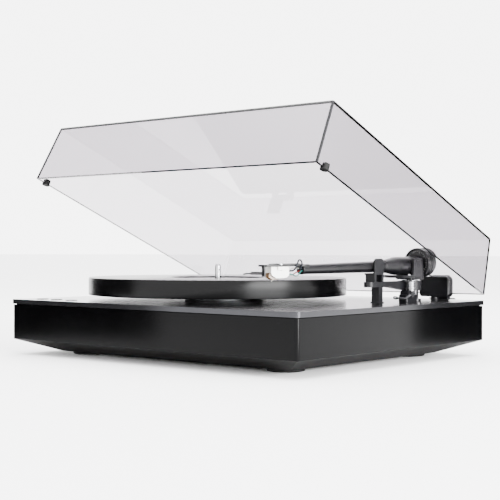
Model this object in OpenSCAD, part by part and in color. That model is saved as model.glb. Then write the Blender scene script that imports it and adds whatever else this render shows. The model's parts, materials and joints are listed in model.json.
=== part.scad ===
/* [Plinth] */
// Width of the top plate, left to right
plate_w = 435; // [420:1:540]
// Depth of the top plate, front to back
plate_d = 368; // [355:1:450]
// Thickness of the top plate
plate_t = 5.4; // [4:0.1:8]
// Rounding of the top plate's corners, seen from above
plate_corner_r = 6; // [3:0.5:12]
// Distance that the body's sides stand in from the plate's edge
body_inset = 1.3; // [0.5:0.1:4]
// Height of the shadow gap under the plate
shadow_gap = 1; // [0.5:0.1:2]
// Depth of the shadow gap, behind the body's sides
shadow_depth = 3; // [1:0.5:4]
// Height of the body's upright sides, from the plate's underside
side_h = 41.6; // [36:0.2:60]
// Drop of the sloping underside
slope_drop = 15.3; // [10:0.1:20]
// Distance that the underside slopes inwards
slope_in = 42.6; // [30:0.2:50]
// Thickness of the body's walls and floor
body_wall = 6; // [4:0.5:8]
// Standing height under the body's floor
foot_stand = 3.3; // [2:0.1:8]
// Radius of a foot
foot_r = 20; // [14:1:24]
// Thickness of a foot
foot_t = 6.3; // [5:0.1:9]
// Thickness of the bottom cover
cover_t = 2; // [1.5:0.1:2.5]
// Width of the bottom cover
cover_w = 206; // [170:1:215]
// Depth of the bottom cover
cover_d = 150; // [120:1:160]

/* [Platter] */
// Radius of the platter
platter_r = 155.5; // [146:0.5:158]
// Thickness of the platter
platter_t = 20.7; // [14:0.1:30]
// Gap between the platter and the top plate
platter_gap = 5.9; // [5:0.1:12]
// Bevel round the platter's upper edge
platter_bevel = 1.5; // [0.5:0.1:4]
// Radius of the recess that clears a record's label
label_r = 57; // [52:0.5:62]
// Depth of the label recess
label_depth = 1.6; // [0.8:0.1:4]
// Radius of the spindle pin that a record's hole drops over
spindle_r = 3.55; // [3.5:0.01:3.6]
// Height of the spindle pin over the platter
spindle_h = 16.5; // [10:0.5:20]
// Distance from the plate's left edge to the spindle
spindle_from_left = 179; // [176:1:200]
// Distance from the plate's front edge to the spindle
spindle_from_front = 172.5; // [170:0.5:200]
// Radius of the bearing shaft under the platter
shaft_r = 5; // [4:0.1:7]
// Running clearance of a turning shaft, on the radius
run_gap = 0.04; // [0.02:0.01:0.08]

/* [Motor] */
// Outer radius of the stator core
stator_r = 32; // [28:1:34]
// Height of the stator core
stator_h = 8; // [5:0.5:9]
// Number of stator poles
pole_count = 9; // [6:3:12]
// Air gap between the stator and the magnet ring
air_gap = 1; // [0.5:0.1:1.5]
// Thickness of the magnet ring
magnet_t = 4; // [3:0.5:5]

/* [Tonearm] */
// Distance from the plate's right edge to the arm's pivot
pivot_from_right = 56.5; // [50:0.5:70]
// Distance from the plate's back edge to the arm's pivot
pivot_from_back = 79; // [76:0.5:100]
// Height of the arm's bearing axle over the plate
axle_h = 42; // [40:0.5:50]
// Slope of the parked arm, down towards the head
arm_slope = 0.75; // [0:0.05:1]
// Distance that the stylus reaches past the spindle
overhang = 13; // [8:0.5:20]
// Angle of the head to the tube
head_offset = 22.5; // [18:0.5:25]
// Radius of the tube at its head end
tube_front_r = 4.9; // [4.5:0.1:5.2]
// Radius of the tube where it leaves the bearing housing
tube_rear_r = 6.5; // [6.2:0.1:6.8]
// Radius of the bearing housing round the axle
housing_r = 10.4; // [9.5:0.1:10.6]
// Wall of the tube
tube_wall = 1.1; // [0.8:0.1:1.5]
// Radius of the tilt axle
axle_r = 2; // [1.5:0.1:2.5]
// Radius of the counterweight
weight_r = 17.4; // [14:0.2:18]
// Length of the counterweight behind its dial
weight_len = 12; // [10:0.5:16]
// Radius of the rear stub that carries the counterweight
stub_r = 5; // [4:0.1:6]
// Radius of the arm's pillar
pillar_r = 10; // [9:0.1:10.5]
// Height of the pillar over the plate
pillar_h = 25; // [24:0.2:25.2]
// Distance between the two cartridge screws
screw_pitch = 12.7; // [12.6:0.05:12.8]
// Clearance between the parked tube and its rest
rest_gap = 0.4; // [0.3:0.1:1]

/* [Controls] */
// Radius of a push button
button_r = 7; // [5:0.5:9]
// Height of a push button over the plate
button_proud = 0.7; // [0.6:0.1:1.2]
// Distance between two push buttons
button_pitch = 26; // [22:1:34]
// Clearance round a moving button
button_gap = 0.3; // [0.2:0.05:0.4]
// Distance from the plate's front edge to the buttons
button_from_front = 24; // [22:1:40]
// Distance from the plate's left edge to the first button
button_from_left = 30; // [24:1:50]

/* [Rear panel] */
// Width of the socket panel
panel_w = 150; // [140:1:200]
// Height of the socket panel
panel_h = 26; // [24:1:30]
// Thickness of the socket panel
panel_t = 2; // [1.5:0.1:3]
// Outer radius of an audio socket's sleeve
sleeve_r = 4.15; // [4.1:0.01:4.2]
// Length of an audio socket's sleeve
sleeve_len = 9; // [8:0.5:10]

/* [Lid] */
// Wall of the clear lid
lid_wall = 3.6; // [3:0.1:5]
// Height of the lid's walls
lid_h = 73; // [68:0.5:90]
// Distance that the lid stands in from the plate's sides and front
lid_inset = 3.3; // [2:0.1:8]
// Distance that the closed lid reaches past the plate's back edge
lid_over_back = 2.2; // [1:0.1:4]
// Gap between the closed lid's rim and the plate
lid_gap = 2.2; // [2:0.1:4]
// Lean of the lid's two side walls, over their height
lean_side = 4.9; // [2:0.1:8]
// Lean of the lid's front wall, over its height
lean_front = 7.3; // [2:0.1:10]
// Lean of the lid's back wall, over its height
lean_back = 3.4; // [1:0.1:6]
// Angle that the lid stands open
lid_open = 22.5; // [0:0.5:55]
// Distance from the plate's back edge to the hinge axis
hinge_back = 13.5; // [12:0.5:20]
// Distance of the hinge axis under the plate's upper face
hinge_down = 4; // [3:0.5:6]
// Radius of a hinge pin
pin_r = 2.5; // [2:0.1:3]
// Radius of a hinge knuckle
knuckle_r = 5.2; // [4.5:0.1:6]
// Width of a hinge bracket
bracket_w = 34; // [30:1:46]
// Distance from the lid's middle to each hinge
hinge_from_middle = 150; // [120:1:170]

/* [Hidden] */
$fn = 64;
over = 1;

// Heights, from the platter's upper face down
plate_top = -platter_t - platter_gap;
plate_bottom = plate_top - plate_t;
side_top = plate_bottom - shadow_gap;
side_bottom = plate_bottom - side_h;
body_bottom = side_bottom - slope_drop;
floor_top = body_bottom + body_wall;
stand_z = body_bottom - foot_stand;

// Places, from the spindle
plate_mid_x = plate_w / 2 - spindle_from_left;
plate_mid_y = plate_d / 2 - spindle_from_front;
plate_back = plate_d - spindle_from_front;
plate_right = plate_w - spindle_from_left;
body_w = plate_w - 2 * body_inset;
body_d = plate_d - 2 * body_inset;
body_back = plate_back - body_inset;
body_corner_r = plate_corner_r - body_inset;
floor_w = body_w - 2 * slope_in;
floor_d = body_d - 2 * slope_in;
foot_x = floor_w / 2 - foot_r - 3;
foot_y = floor_d / 2 - foot_r - 3;
foot_places = [for (x = [-foot_x, foot_x], y = [-foot_y, foot_y]) [x, y]];
cover_lap = 8;
cover_screw_places = [for (x = [-1, 1], y = [-1, 1])
    [x * (cover_w + cover_lap) / 2, y * (cover_d / 2 - 20)]];

// Bearing and motor
bush_r = shaft_r + 3;
bush_len = 8;
bearing_r = bush_r + 3;
hub_t = 3;
hub_r = 60;
hub_bottom = -platter_t - hub_t;
bearing_top = hub_bottom - 1.5;
ball_r = 2.5;
bearing_bottom = floor_top + 3;
bearing_floor = bearing_bottom + 3;
shaft_bottom = bearing_floor + 2 * ball_r;
magnet_in = stator_r + air_gap;
magnet_out = magnet_in + magnet_t;
cup_r = magnet_out + 2.5;
rotor_bottom = plate_bottom - stator_h - 5;
motor_hole_r = cup_r + 3;
motor_base_t = 3;
motor_base_top = rotor_bottom - 3;
motor_rim_r = motor_hole_r + 14;
motor_screw_r = motor_hole_r + 7.5;
stator_top = rotor_bottom + 2 + stator_h;

// Tonearm
pivot_x = plate_right - pivot_from_right;
pivot_y = plate_back - pivot_from_back;
pivot_distance = norm([pivot_x, pivot_y]);
effective_len = pivot_distance + overhang;
stylus_s = 34.5;
bend_y = sqrt(pow(effective_len, 2) - pow(stylus_s * sin(head_offset), 2)) - stylus_s * cos(head_offset);
tube_end = bend_y;
housing_end = 34;
housing_neck = 58;
housing_back = 12.6;
cheek_in = 8.7;
cheek_t = 3.4;
cheek_out = cheek_in + cheek_t;
cheek_gap = 0.5;
cheek_foot = 22.8;
cheek_head = 17.3;
cheek_foot_cut = 1;
cheek_head_cut = 1.4;
cheek_line_out = 1.8;
cheek_line_in = 2.6;
yoke_bottom = pillar_h + 0.5;
yoke_t = 4;
yoke_top = axle_h + 8.8;
stub_rise = 3;
stub_end = 42;
weight_front = 14.2;
dial_len = 5.7;
dial_gap = 0.7;
swing_shaft_r = 4;
bearing_ring_r = 6.5;
bearing_ring_h = 5;
pillar_foot_r = 13;
pillar_foot_t = 3;
tail_r = 8;
tail_len = 12;
head_len = 44.5;
head_w = 18;
head_t = 2;
head_top = 5.6;
head_under = head_top - head_t;
body_s0 = 17;
body_s1 = 37.5;
cart_w = 16.5;
cart_h = 13.4;
cart_bottom = head_under - cart_h;
stylus_drop = 14.7;
screw_s = body_s0 + 9.5;

// Arm rest and cueing lift, from the pivot
bracket_top = 24;
bracket_half = 6;
bracket_end = 88;
bracket_under = 18;
bracket_round = 3;
collar_low = 13;
gusset_near = 12;
gusset_far = 52;
leg_w = 10;
leg_d = 8;
leg_far = 73;
leg_foot_t = 1.2;
collar_r = pillar_r + 3.5;
rest_from = 69.5;
rest_to = 87.5;
rest_wall_in = 7;
rest_wall_t = 2.4;
lift_x = 12.5;
lift_y = -18;
lift_r = 4.8;
lift_top = 24;
lift_rod_r = 1.5;
lift_box = [12, 23, 8.5];
band_in = 24;
band_out = 31;
band_bottom = 27.6;
band_t = 3.2;
lever_y = -32;
lever_z = 9.5;
lever_x = lift_x + lift_box[0] / 2;
lever_pin_r = 1.2;
skate_box = [42, 11.6, 25.2];
skate_mid = [1, 57.8];
skate_foot_h = 3.6;

// Lid
lid_bottom = plate_top + lid_gap;
lid_w = plate_w - 2 * lid_inset;
lid_front = -spindle_from_front + lid_inset;
lid_back = plate_back + lid_over_back;
hinge_y = plate_back + hinge_back;
hinge_z = plate_top - hinge_down;
bumper_r = 4.6;
bumper_front = 16;
bracket_t = 3;
bracket_drop = 26;
bracket_screw_x = 6;
bracket_screw_drop = 18;
clip_w = bracket_w - 12;
clip_t = 3;
clip_h = 24;
clip_up = 3;

// Rear panel
panel_x = 40;
panel_z = (side_top + side_bottom) / 2;
panel_recess = 3;
panel_face = body_back - panel_recess;
audio_x = [panel_x + 52, panel_x + 34];
ground_x = panel_x + 64;
switch_x = panel_x + 12;
switch_travel = 5;
pairing_x = panel_x - 14;
inlet_x = panel_x - 48;
main_size = [104, 44];
main_place = [panel_x - 34, plate_mid_y + floor_d / 2 - main_size[1] - 2];

// Points of the signal leads, from the head's bend, in the head's own frame
lead_r = 0.55;
lead_paths = [
    [[2.6, -11.8, -1], [3.4, -10.6, -0.8], [6.6, -9.4, 1.6], [7.6, -8, 6], [7.2, -5.6, 10],
        [7, -3, 9.4], [6.9, -1.8, 5.4], [5.2, -3.2, 1.4], [2.6, -2.6, 0.6], [1.6, 0.6, 0.9], [1.5, 4, 0.9]],
    [[-2.6, -11.8, -1], [-2.9, -10.4, -0.8], [-4.4, -8, 0.8], [-4.6, -5.4, 1.6], [-3, -2.4, 1.4],
        [-1.7, 0.6, 1.2], [-1.5, 4, 1.1]],
    [[-2.6, -11.8, -4.6], [-2.8, -10.4, -4.8], [-4, -8, -5.4], [-3.6, -5, -4], [-2.2, -2, -2.2],
        [-1.5, 0.6, -1.2], [-1.3, 4, -1]],
    [[2.6, -11.8, -4.6], [2.9, -10.4, -5], [4.8, -8, -6.4], [5, -5.2, -5.4], [3, -2.2, -2.8],
        [1.6, 0.6, -1.4], [1.3, 4, -1.1]]
];
lead_sides = 8;
lead_steps = 3;

// Upright rounded slab, centred on the z axis, from z = 0
module rounded_slab(w, d, h, r) {
    linear_extrude(h) union() {
        square([w - 2 * r, d], center = true);
        square([w, d - 2 * r], center = true);
        for (x = [-1, 1], y = [-1, 1])
            translate([x * (w / 2 - r), y * (d / 2 - r)]) circle(r, $fn = 32);
    }
}

// Cylinder lying along x, from x = 0
module rod_x(r, len) {
    rotate([0, 90, 0]) cylinder(h = len, r = r);
}

// Cylinder lying along y, from y = 0 backwards
module rod_y(r, len) {
    rotate([-90, 0, 0]) cylinder(h = len, r = r);
}

// Ring about the z axis, from z = 0
module ring(r_out, r_in, h) {
    difference() {
        cylinder(h = h, r = r_out);
        translate([0, 0, -over]) cylinder(h = h + 2 * over, r = r_in);
    }
}

// Slab of the given side-view outline, spread evenly along x
module along_x(w) {
    rotate([90, 0, 90]) linear_extrude(w, center = true) children();
}

module about_plate_middle() {
    translate([plate_mid_x, plate_mid_y, 0]) children();
}

module about_pivot() {
    translate([pivot_x, pivot_y, plate_top]) children();
}

// The parked arm's own frame: the axle is the origin and the tube runs along -y
module on_arm() {
    about_pivot() translate([0, 0, axle_h]) rotate([arm_slope, 0, 0]) children();
}

// The head's own frame: the bend is the origin and the head runs along -y
module on_head() {
    on_arm() translate([0, -bend_y, 0]) rotate([0, 0, -head_offset]) children();
}

// Closed lid's frame, turned open about the hinge axis
module on_lid() {
    translate([plate_mid_x, hinge_y, hinge_z]) rotate([-lid_open, 0, 0])
        translate([0, -hinge_y, -hinge_z]) children();
}

// Outline of the body across one direction, half width and half floor width given
module body_section(half, half_floor, in = 0) {
    drop = in == 0 ? 0 : in * (norm([slope_in, slope_drop]) - slope_in) / slope_drop;
    top = in == 0 ? plate_bottom : plate_bottom + over;
    polygon([[-half + in, top], [half - in, top], [half - in, side_bottom + drop],
        [half_floor - in * 0.2, body_bottom + in], [-half_floor + in * 0.2, body_bottom + in],
        [-half + in, side_bottom + drop]]);
}

// Solid of the body's outer or inner shape
module body_form(in = 0) {
    intersection() {
        rotate([90, 0, 0]) linear_extrude(body_d + 2 * over, center = true)
            body_section(body_w / 2, floor_w / 2, in);
        rotate([90, 0, 90]) linear_extrude(body_w + 2 * over, center = true)
            body_section(body_d / 2, floor_d / 2, in);
        translate([0, 0, body_bottom - over])
            rounded_slab(body_w, body_d, side_h + slope_drop + 2 * over, body_corner_r);
    }
}

module plinth_body() {
    color("#1b1b1d") difference() {
        about_plate_middle() difference() {
            body_form();
            body_form(body_wall);
            shadow_cut();
            panel_opening();
            cover_opening();
            foot_pockets();
        }
        at_hinges() for (x = [-1, 1])
            translate([x * bracket_screw_x, body_back - 5, hinge_z - bracket_screw_drop]) rod_y(1.6, 6);
    }
}

// Groove that parts the plate from the body's sides
module shadow_cut() {
    translate([0, 0, side_top]) difference() {
        rounded_slab(body_w + 4, body_d + 4, shadow_gap + over, body_corner_r);
        translate([0, 0, -over])
            rounded_slab(body_w - 2 * shadow_depth, body_d - 2 * shadow_depth, shadow_gap + 3 * over, 2);
    }
}

module panel_opening() {
    translate([panel_x - plate_mid_x, body_d / 2, panel_z]) {
        cube([panel_w, 2 * panel_recess, panel_h], center = true);
        cube([panel_w - 6, 4 * body_wall, panel_h - 6], center = true);
    }
    translate([panel_x - plate_mid_x, body_d / 2 - panel_recess - panel_t / 2, panel_z])
        cube([panel_w, panel_t, panel_h], center = true);
}

module cover_opening() {
    lap_w = cover_w + 2 * cover_lap;
    lap_d = cover_d + 2 * cover_lap;
    translate([0, 0, body_bottom]) {
        cube([lap_w + 0.4, lap_d + 0.4, 2 * cover_t], center = true);
        cube([cover_w, cover_d, 4 * body_wall], center = true);
    }
    for (p = cover_screw_places)
        translate([p[0], p[1], body_bottom]) cylinder(h = 3 * body_wall, r = 1.5, center = true);
}

module foot_pockets() {
    for (p = foot_places) translate([p[0], p[1], body_bottom]) {
        cylinder(h = 2 * (foot_t - foot_stand), r = foot_r + 0.2, center = true);
        cylinder(h = 4 * body_wall, r = 2.05, center = true);
    }
}

// Places of the three push buttons
function button_place(i) = [button_from_left - spindle_from_left + i * button_pitch,
    button_from_front - spindle_from_front];

module top_plate() {
    color("#55565a") difference() {
        about_plate_middle() translate([0, 0, plate_bottom])
            rounded_slab(plate_w, plate_d, plate_t, plate_corner_r);
        plate_holes();
    }
}

// Holes that let the motor, the arm's tail, the buttons and the light pass
module plate_holes() {
    through = plate_t + 2 * over;
    translate([0, 0, plate_bottom - over]) {
        cylinder(h = through, r = motor_hole_r);
        translate([pivot_x, pivot_y, 0]) cylinder(h = through, r = tail_r + 0.1);
        for (i = [0:2]) translate(button_place(i)) cylinder(h = through, r = button_r + button_gap);
        translate(light_place()) cylinder(h = through, r = 1.3);
    }
}

function light_place() = [button_place(0)[0] - 14, button_place(0)[1]];

module base_cover() {
    color("#2c2d2f") about_plate_middle() translate([0, 0, body_bottom]) difference() {
        translate([0, 0, cover_t / 2])
            cube([cover_w + 2 * cover_lap, cover_d + 2 * cover_lap, cover_t], center = true);
        for (x = [-60:12:60], y = [-60, 60])
            translate([x, y, 0]) cube([4, 40, 4 * cover_t], center = true);
        for (p = cover_screw_places) translate([p[0], p[1], 0])
            cylinder(h = 4 * cover_t, r = 1.6, center = true);
    }
}

module foot_pads() {
    color("#262626") about_plate_middle() for (p = foot_places) translate([p[0], p[1], stand_z]) {
        difference() {
            union() {
                translate([0, 0, 1]) cylinder(h = foot_t - 1, r = foot_r);
                cylinder(h = 1, r1 = foot_r - 1, r2 = foot_r);
            }
            translate([0, 0, -over]) cylinder(h = 2.6 + over, r = 5);
            translate([0, 0, -over]) cylinder(h = foot_t + 2 * over, r = 2.05);
        }
    }
}

// Round-headed screw that points up, its head's underside at z = 0
module screw_up(r, len, head_r, head_h) {
    cylinder(h = len, r = r);
    translate([0, 0, -head_h]) difference() {
        cylinder(h = head_h, r = head_r);
        translate([0, 0, -over]) cylinder(h = over + head_h / 2, r = head_r / 2, $fn = 6);
    }
}

module base_screws() {
    color("#3a3a3c") about_plate_middle() {
        for (p = foot_places) translate([p[0], p[1], stand_z + 2.6]) screw_up(2, 8, 4, 1.8);
        for (p = cover_screw_places) translate([p[0], p[1], body_bottom]) screw_up(1.45, 5, 3, 1.2);
    }
}

module motor_base() {
    rim_h = plate_bottom - motor_base_top;
    color("#8f9295") difference() {
        union() {
            translate([0, 0, motor_base_top - motor_base_t])
                cylinder(h = motor_base_t, r = motor_hole_r + 3);
            translate([0, 0, motor_base_top]) ring(motor_hole_r + 3, motor_hole_r, rim_h);
            translate([0, 0, plate_bottom - 3]) ring(motor_rim_r, motor_hole_r, 3);
        }
        translate([0, 0, bearing_bottom - over]) cylinder(h = side_h, r = bearing_r);
        for (a = [30, 150, 270]) rotate(a) translate([motor_screw_r, 0, plate_bottom - 3 - over])
            cylinder(h = 3 + 2 * over, r = 1.7);
    }
}

module bearing_housing() {
    color("#b9bbbe") difference() {
        union() {
            translate([0, 0, bearing_bottom]) cylinder(h = bearing_top - bearing_bottom, r = bearing_r);
            translate([0, 0, motor_base_top - motor_base_t - 2]) cylinder(h = 2, r = bearing_r + 6);
        }
        translate([0, 0, bearing_floor]) cylinder(h = 2 * ball_r, r = ball_r + 0.1);
        translate([0, 0, shaft_bottom - 1]) cylinder(h = bearing_top - shaft_bottom + 1 + over, r = bush_r);
    }
}

module bearing_bushes() {
    color("#a97a3c") for (z = [shaft_bottom + 0.5, bearing_top - bush_len])
        translate([0, 0, z]) ring(bush_r, shaft_r + run_gap, bush_len);
}

module thrust_ball() {
    color("silver") translate([0, 0, bearing_floor + ball_r]) sphere(ball_r);
}

module stator_core() {
    tip_w = 17;
    tip_t = 2.5;
    tip_x = sqrt(pow(stator_r, 2) - pow(tip_w / 2, 2));
    color("#6f7073") translate([0, 0, stator_top - stator_h]) linear_extrude(stator_h) difference() {
        union() {
            circle(bearing_r + 5);
            for (i = [1:pole_count]) rotate(360 * i / pole_count) {
                translate([0, -2.5]) square([tip_x - 1, 5]);
                translate([tip_x - tip_t, -tip_w / 2]) square([tip_t, tip_w]);
            }
        }
        circle(bearing_r + run_gap);
    }
}

module stator_coils() {
    coil_in = bearing_r + 6;
    coil_len = stator_r - 5 - coil_in;
    color("#b5652d") translate([0, 0, stator_top - stator_h / 2])
        for (i = [1:pole_count]) rotate(360 * i / pole_count) translate([coil_in, 0, 0]) difference() {
            translate([0, -4.2, -stator_h / 2 - 1.2]) cube([coil_len, 8.4, stator_h + 2.4]);
            translate([-over, -2.5, -stator_h / 2]) cube([coil_len + 2 * over, 5, stator_h]);
        }
}

module platter() {
    color("#2a2a2c") rotate_extrude($fn = 128) difference() {
        polygon([[shaft_r + 0.02, -platter_t], [platter_r - 0.6, -platter_t], [platter_r, 0.6 - platter_t],
            [platter_r, -platter_bevel], [platter_r - platter_bevel, 0], [label_r, 0],
            [label_r, -label_depth], [shaft_r + 0.02, -label_depth]]);
        translate([hub_r + 8, -platter_t - over]) square([platter_r - hub_r - 20, 6 + over]);
    }
}

module platter_hub() {
    color("#9a9da0") difference() {
        union() {
            translate([0, 0, hub_bottom]) cylinder(h = hub_t, r = hub_r);
            translate([0, 0, rotor_bottom]) ring(cup_r, magnet_out, hub_bottom - rotor_bottom);
            translate([0, 0, hub_bottom - 2]) ring(cup_r, magnet_in, 2);
        }
        translate([0, 0, hub_bottom - over]) cylinder(h = hub_t + 2 * over, r = shaft_r);
        for (i = [0:5]) rotate(60 * i + 30) translate([46, 0, hub_bottom - over])
            cylinder(h = hub_t + 2 * over, r = 5);
    }
}

module rotor_magnet() {
    color("#4a4542") translate([0, 0, rotor_bottom]) ring(magnet_out, magnet_in, stator_h + 4);
}

module spindle() {
    color("silver") rotate_extrude() polygon([[0, shaft_bottom], [shaft_r - 0.5, shaft_bottom],
        [shaft_r, shaft_bottom + 0.5], [shaft_r, -label_depth], [spindle_r, -label_depth],
        [spindle_r, spindle_h - 3.4],
        [spindle_r * 0.9, spindle_h - 1.8],
        [spindle_r * 0.66, spindle_h - 0.6],
        [spindle_r * 0.3, spindle_h], [0, spindle_h]]);
}

// Push button: cap in the plate's hole and flange that stops it from below
module push_button(i) {
    translate(button_place(i)) {
        translate([0, 0, plate_bottom - 1.3]) cylinder(h = plate_t + 0.9 + button_proud, r = button_r);
        translate([0, 0, plate_top + button_proud - 0.4])
            cylinder(h = 0.4, r1 = button_r, r2 = button_r - 0.4);
        translate([0, 0, plate_bottom - 1.3]) cylinder(h = 1.2, r = button_r + 1.2);
        translate([0, 0, plate_bottom - 3]) cylinder(h = 2, r = 2);
    }
}

module power_button() {
    color("#101012") push_button(0);
}

module speed_33_button() {
    color("#101012") push_button(1);
}

module speed_45_button() {
    color("#101012") push_button(2);
}

module button_board() {
    mid = button_place(1);
    color("#1f5a37") difference() {
        union() {
            translate([mid[0], mid[1], plate_bottom - 8])
                cube([3 * button_pitch - 4, 22, 1.6], center = true);
            for (i = [0:2]) translate([button_place(i)[0], mid[1], plate_bottom - 7.2])
                translate([-3, -3, 0]) cube([6, 6, 3.2]);
            for (x = [-1, 1]) translate([mid[0] + x * button_pitch / 2, mid[1] + 8, plate_bottom - 7.5])
                cylinder(h = 7.5, r = 2.4);
        }
        for (x = [-1, 1]) translate([mid[0] + x * (1.5 * button_pitch - 5), mid[1] - 8, plate_bottom - 10])
            cylinder(h = 4, r = 1.3);
    }
}

module status_light() {
    color("#dfe7ee") translate(light_place()) {
        translate([0, 0, plate_bottom - 5]) cylinder(h = plate_t + 5.1, r = 1.25);
    }
}

// Circuit board on four posts, its lower left corner at the given place on the body's floor
module circuit_board(place, size, parts) {
    translate([place[0], place[1], floor_top]) {
        for (x = [5, size[0] - 5], y = [5, size[1] - 5]) translate([x, y, 0]) cylinder(h = 7, r = 2.6);
        translate([0, 0, 7]) cube([size[0], size[1], 1.6]);
        for (p = parts) translate([p[0], p[1], 8.2]) cube([p[2], p[3], p[4]]);
    }
}

module main_board() {
    color("#1f5a37") circuit_board(main_place, main_size, [[8, 10, 22, 20, 8], [42, 12, 12, 12, 3],
        [62, 8, 10, 26, 6], [80, 14, 16, 14, 4]]);
}

module wireless_board() {
    color("#1c3f66") circuit_board([main_place[0] - 58, main_place[1], 0], [44, 36], [[10, 8, 18, 20, 2.5]]);
}

module rear_panel() {
    color("#17181a") difference() {
        translate([panel_x, panel_face - panel_t / 2, panel_z])
            cube([panel_w, panel_t, panel_h], center = true);
        for (x = audio_x) panel_hole(x, sleeve_r - 0.6);
        panel_hole(ground_x, 2);
        panel_hole(pairing_x, 2.6);
        translate([switch_x, panel_face, panel_z])
            cube([switch_travel + 4, 4 * panel_t, 4], center = true);
        translate([inlet_x, panel_face, panel_z]) cube([10, 4 * panel_t, 11], center = true);
    }
}

module panel_hole(x, r) {
    translate([x, panel_face - 2 * panel_t, panel_z]) rod_y(r, 4 * panel_t);
}

module audio_sockets() {
    color("#c8a24a") for (x = audio_x) translate([x, panel_face, panel_z]) difference() {
        union() {
            rod_y(sleeve_r, sleeve_len);
            rod_y(6.2, 1.6);
            translate([0, -panel_t - 5, 0]) rod_y(sleeve_r - 0.6, panel_t + 5);
        }
        translate([0, -panel_t - 5 - over, 0]) rod_y(sleeve_r - 1, sleeve_len + panel_t + 5 + 2 * over);
    }
}

module socket_inserts() {
    color("#e9e6df") for (x = audio_x) translate([x, panel_face - panel_t - 5, panel_z]) difference() {
        rod_y(sleeve_r - 1, panel_t + sleeve_len + 4.4);
        translate([0, panel_t + 5, 0]) rod_y(1.65, sleeve_len);
    }
}

module ground_post() {
    color("#c8a24a") translate([ground_x, panel_face - panel_t - 4, panel_z]) rod_y(2, panel_t + 14);
}

module ground_nut() {
    color("#c8a24a") translate([ground_x, panel_face + 1, panel_z]) difference() {
        rod_y(4.6, 6.5);
        translate([0, -over, 0]) rod_y(2, 6.5 + 2 * over);
        for (i = [0:15]) rotate([0, 22.5 * i, 0]) translate([4.9, -over, 0]) rod_y(0.6, 6.5 + 2 * over);
    }
}

module dc_inlet() {
    color("#111111") translate([inlet_x, panel_face, panel_z]) {
        difference() {
            translate([-5, -10, -5.5]) cube([10, 10.8, 11]);
            translate([0, -8.6, 0]) rod_y(2.9, 12);
        }
        translate([0, -9, 0]) rod_y(1, 9);
    }
}

module phono_switch() {
    color("#e4e4e4") translate([switch_x - switch_travel / 2, panel_face, panel_z]) {
        translate([-1.5, -panel_t - 1.4, -1.6]) cube([3, panel_t + 3.4, 3.2]);
        translate([-5, -panel_t - 2.4, -3.4]) cube([10, 2, 6.8]);
    }
}

module pairing_button() {
    color("#e4e4e4") translate([pairing_x, panel_face, panel_z]) {
        translate([0, -panel_t - 1, 0]) rod_y(2.3, panel_t + 1.8);
        translate([0, -panel_t - 2, 0]) rod_y(3.6, 1.4);
    }
}

// Inward lean of a lid wall at a height over the rim
function lean_at(lean, up) = lean * up / lid_h;

// Lid outline from the side, moved in by a wall and carried on below the rim
module lid_side(in, below) {
    polygon([[lid_front + in + lean_at(lean_front, -below), lid_bottom - below],
        [lid_back - in - lean_at(lean_back, -below), lid_bottom - below],
        [lid_back - in - lean_at(lean_back, lid_h - in), lid_bottom + lid_h - in],
        [lid_front + in + lean_at(lean_front, lid_h - in), lid_bottom + lid_h - in]]);
}

// Lid outline from the front
module lid_face(in, below) {
    foot = lid_w / 2 - in - lean_at(lean_side, -below);
    head = lid_w / 2 - in - lean_at(lean_side, lid_h - in);
    polygon([[-foot, lid_bottom - below], [foot, lid_bottom - below], [head, lid_bottom + lid_h - in],
        [-head, lid_bottom + lid_h - in]]);
}

module lid_form(in, below) {
    intersection() {
        along_x(lid_w + 2 * over) lid_side(in, below);
        rotate([90, 0, 0]) linear_extrude(3 * plate_d, center = true) lid_face(in, below);
    }
}

module lid_cover() {
    color("#9a96a0", 0.4) on_lid() difference() {
        lid_form(0, 0);
        lid_form(lid_wall, over);
    }
}

module lid_bumpers() {
    grip = 0.05;
    color("#141414") on_lid() difference() {
        for (side = [-1, 1])
            translate([side * (lid_w / 2 - lid_wall / 2), lid_front + bumper_front, plate_top + 0.15])
                cylinder(h = lid_gap + 5, r = bumper_r);
        difference() {
            lid_form(-grip, grip);
            lid_form(lid_wall + grip, 2 * over);
        }
    }
}

// Two knuckle ears on a plate, screwed to the body's back
module hinge_bracket() {
    ear = (bracket_w - clip_w) / 2 - 0.4;
    plate_face = body_back + bracket_t;
    under_plate = plate_bottom - 0.5;
    difference() {
        union() {
            translate([-bracket_w / 2, body_back, hinge_z - bracket_drop])
                cube([bracket_w, bracket_t, under_plate - hinge_z + bracket_drop]);
            for (s = [-1, 1]) translate([s * (bracket_w - ear) / 2, 0, 0]) {
                translate([-ear / 2, hinge_y, hinge_z]) rod_x(knuckle_r, ear);
                along_x(ear) polygon([[plate_face - 1, hinge_z - bracket_drop + 2],
                    [hinge_y, hinge_z - knuckle_r], [hinge_y, hinge_z + knuckle_r - 1],
                    [plate_face + 0.6, under_plate], [plate_face - 1, under_plate]]);
            }
        }
        translate([-bracket_w, hinge_y, hinge_z]) rod_x(pin_r, 2 * bracket_w);
        for (x = [-1, 1]) translate([x * bracket_screw_x, body_back - over, hinge_z - bracket_screw_drop])
            rod_y(1.7, bracket_t + 2 * over);
    }
}

module at_hinges() {
    for (side = [-1, 1]) translate([plate_mid_x + side * hinge_from_middle, 0, 0]) children();
}

module hinge_brackets() {
    color("#1d1d1f") at_hinges() hinge_bracket();
}

module hinge_pins() {
    color("silver") at_hinges() translate([-bracket_w / 2 - 0.8, hinge_y, hinge_z])
        rod_x(pin_r, bracket_w + 1.6);
}

module hinge_screws() {
    color("#3a3a3c") at_hinges() for (x = [-1, 1])
        translate([x * bracket_screw_x, body_back + bracket_t, hinge_z - bracket_screw_drop])
            rotate([90, 0, 0]) screw_up(1.6, bracket_t + 4, 2.8, 1.4);
}

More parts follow.
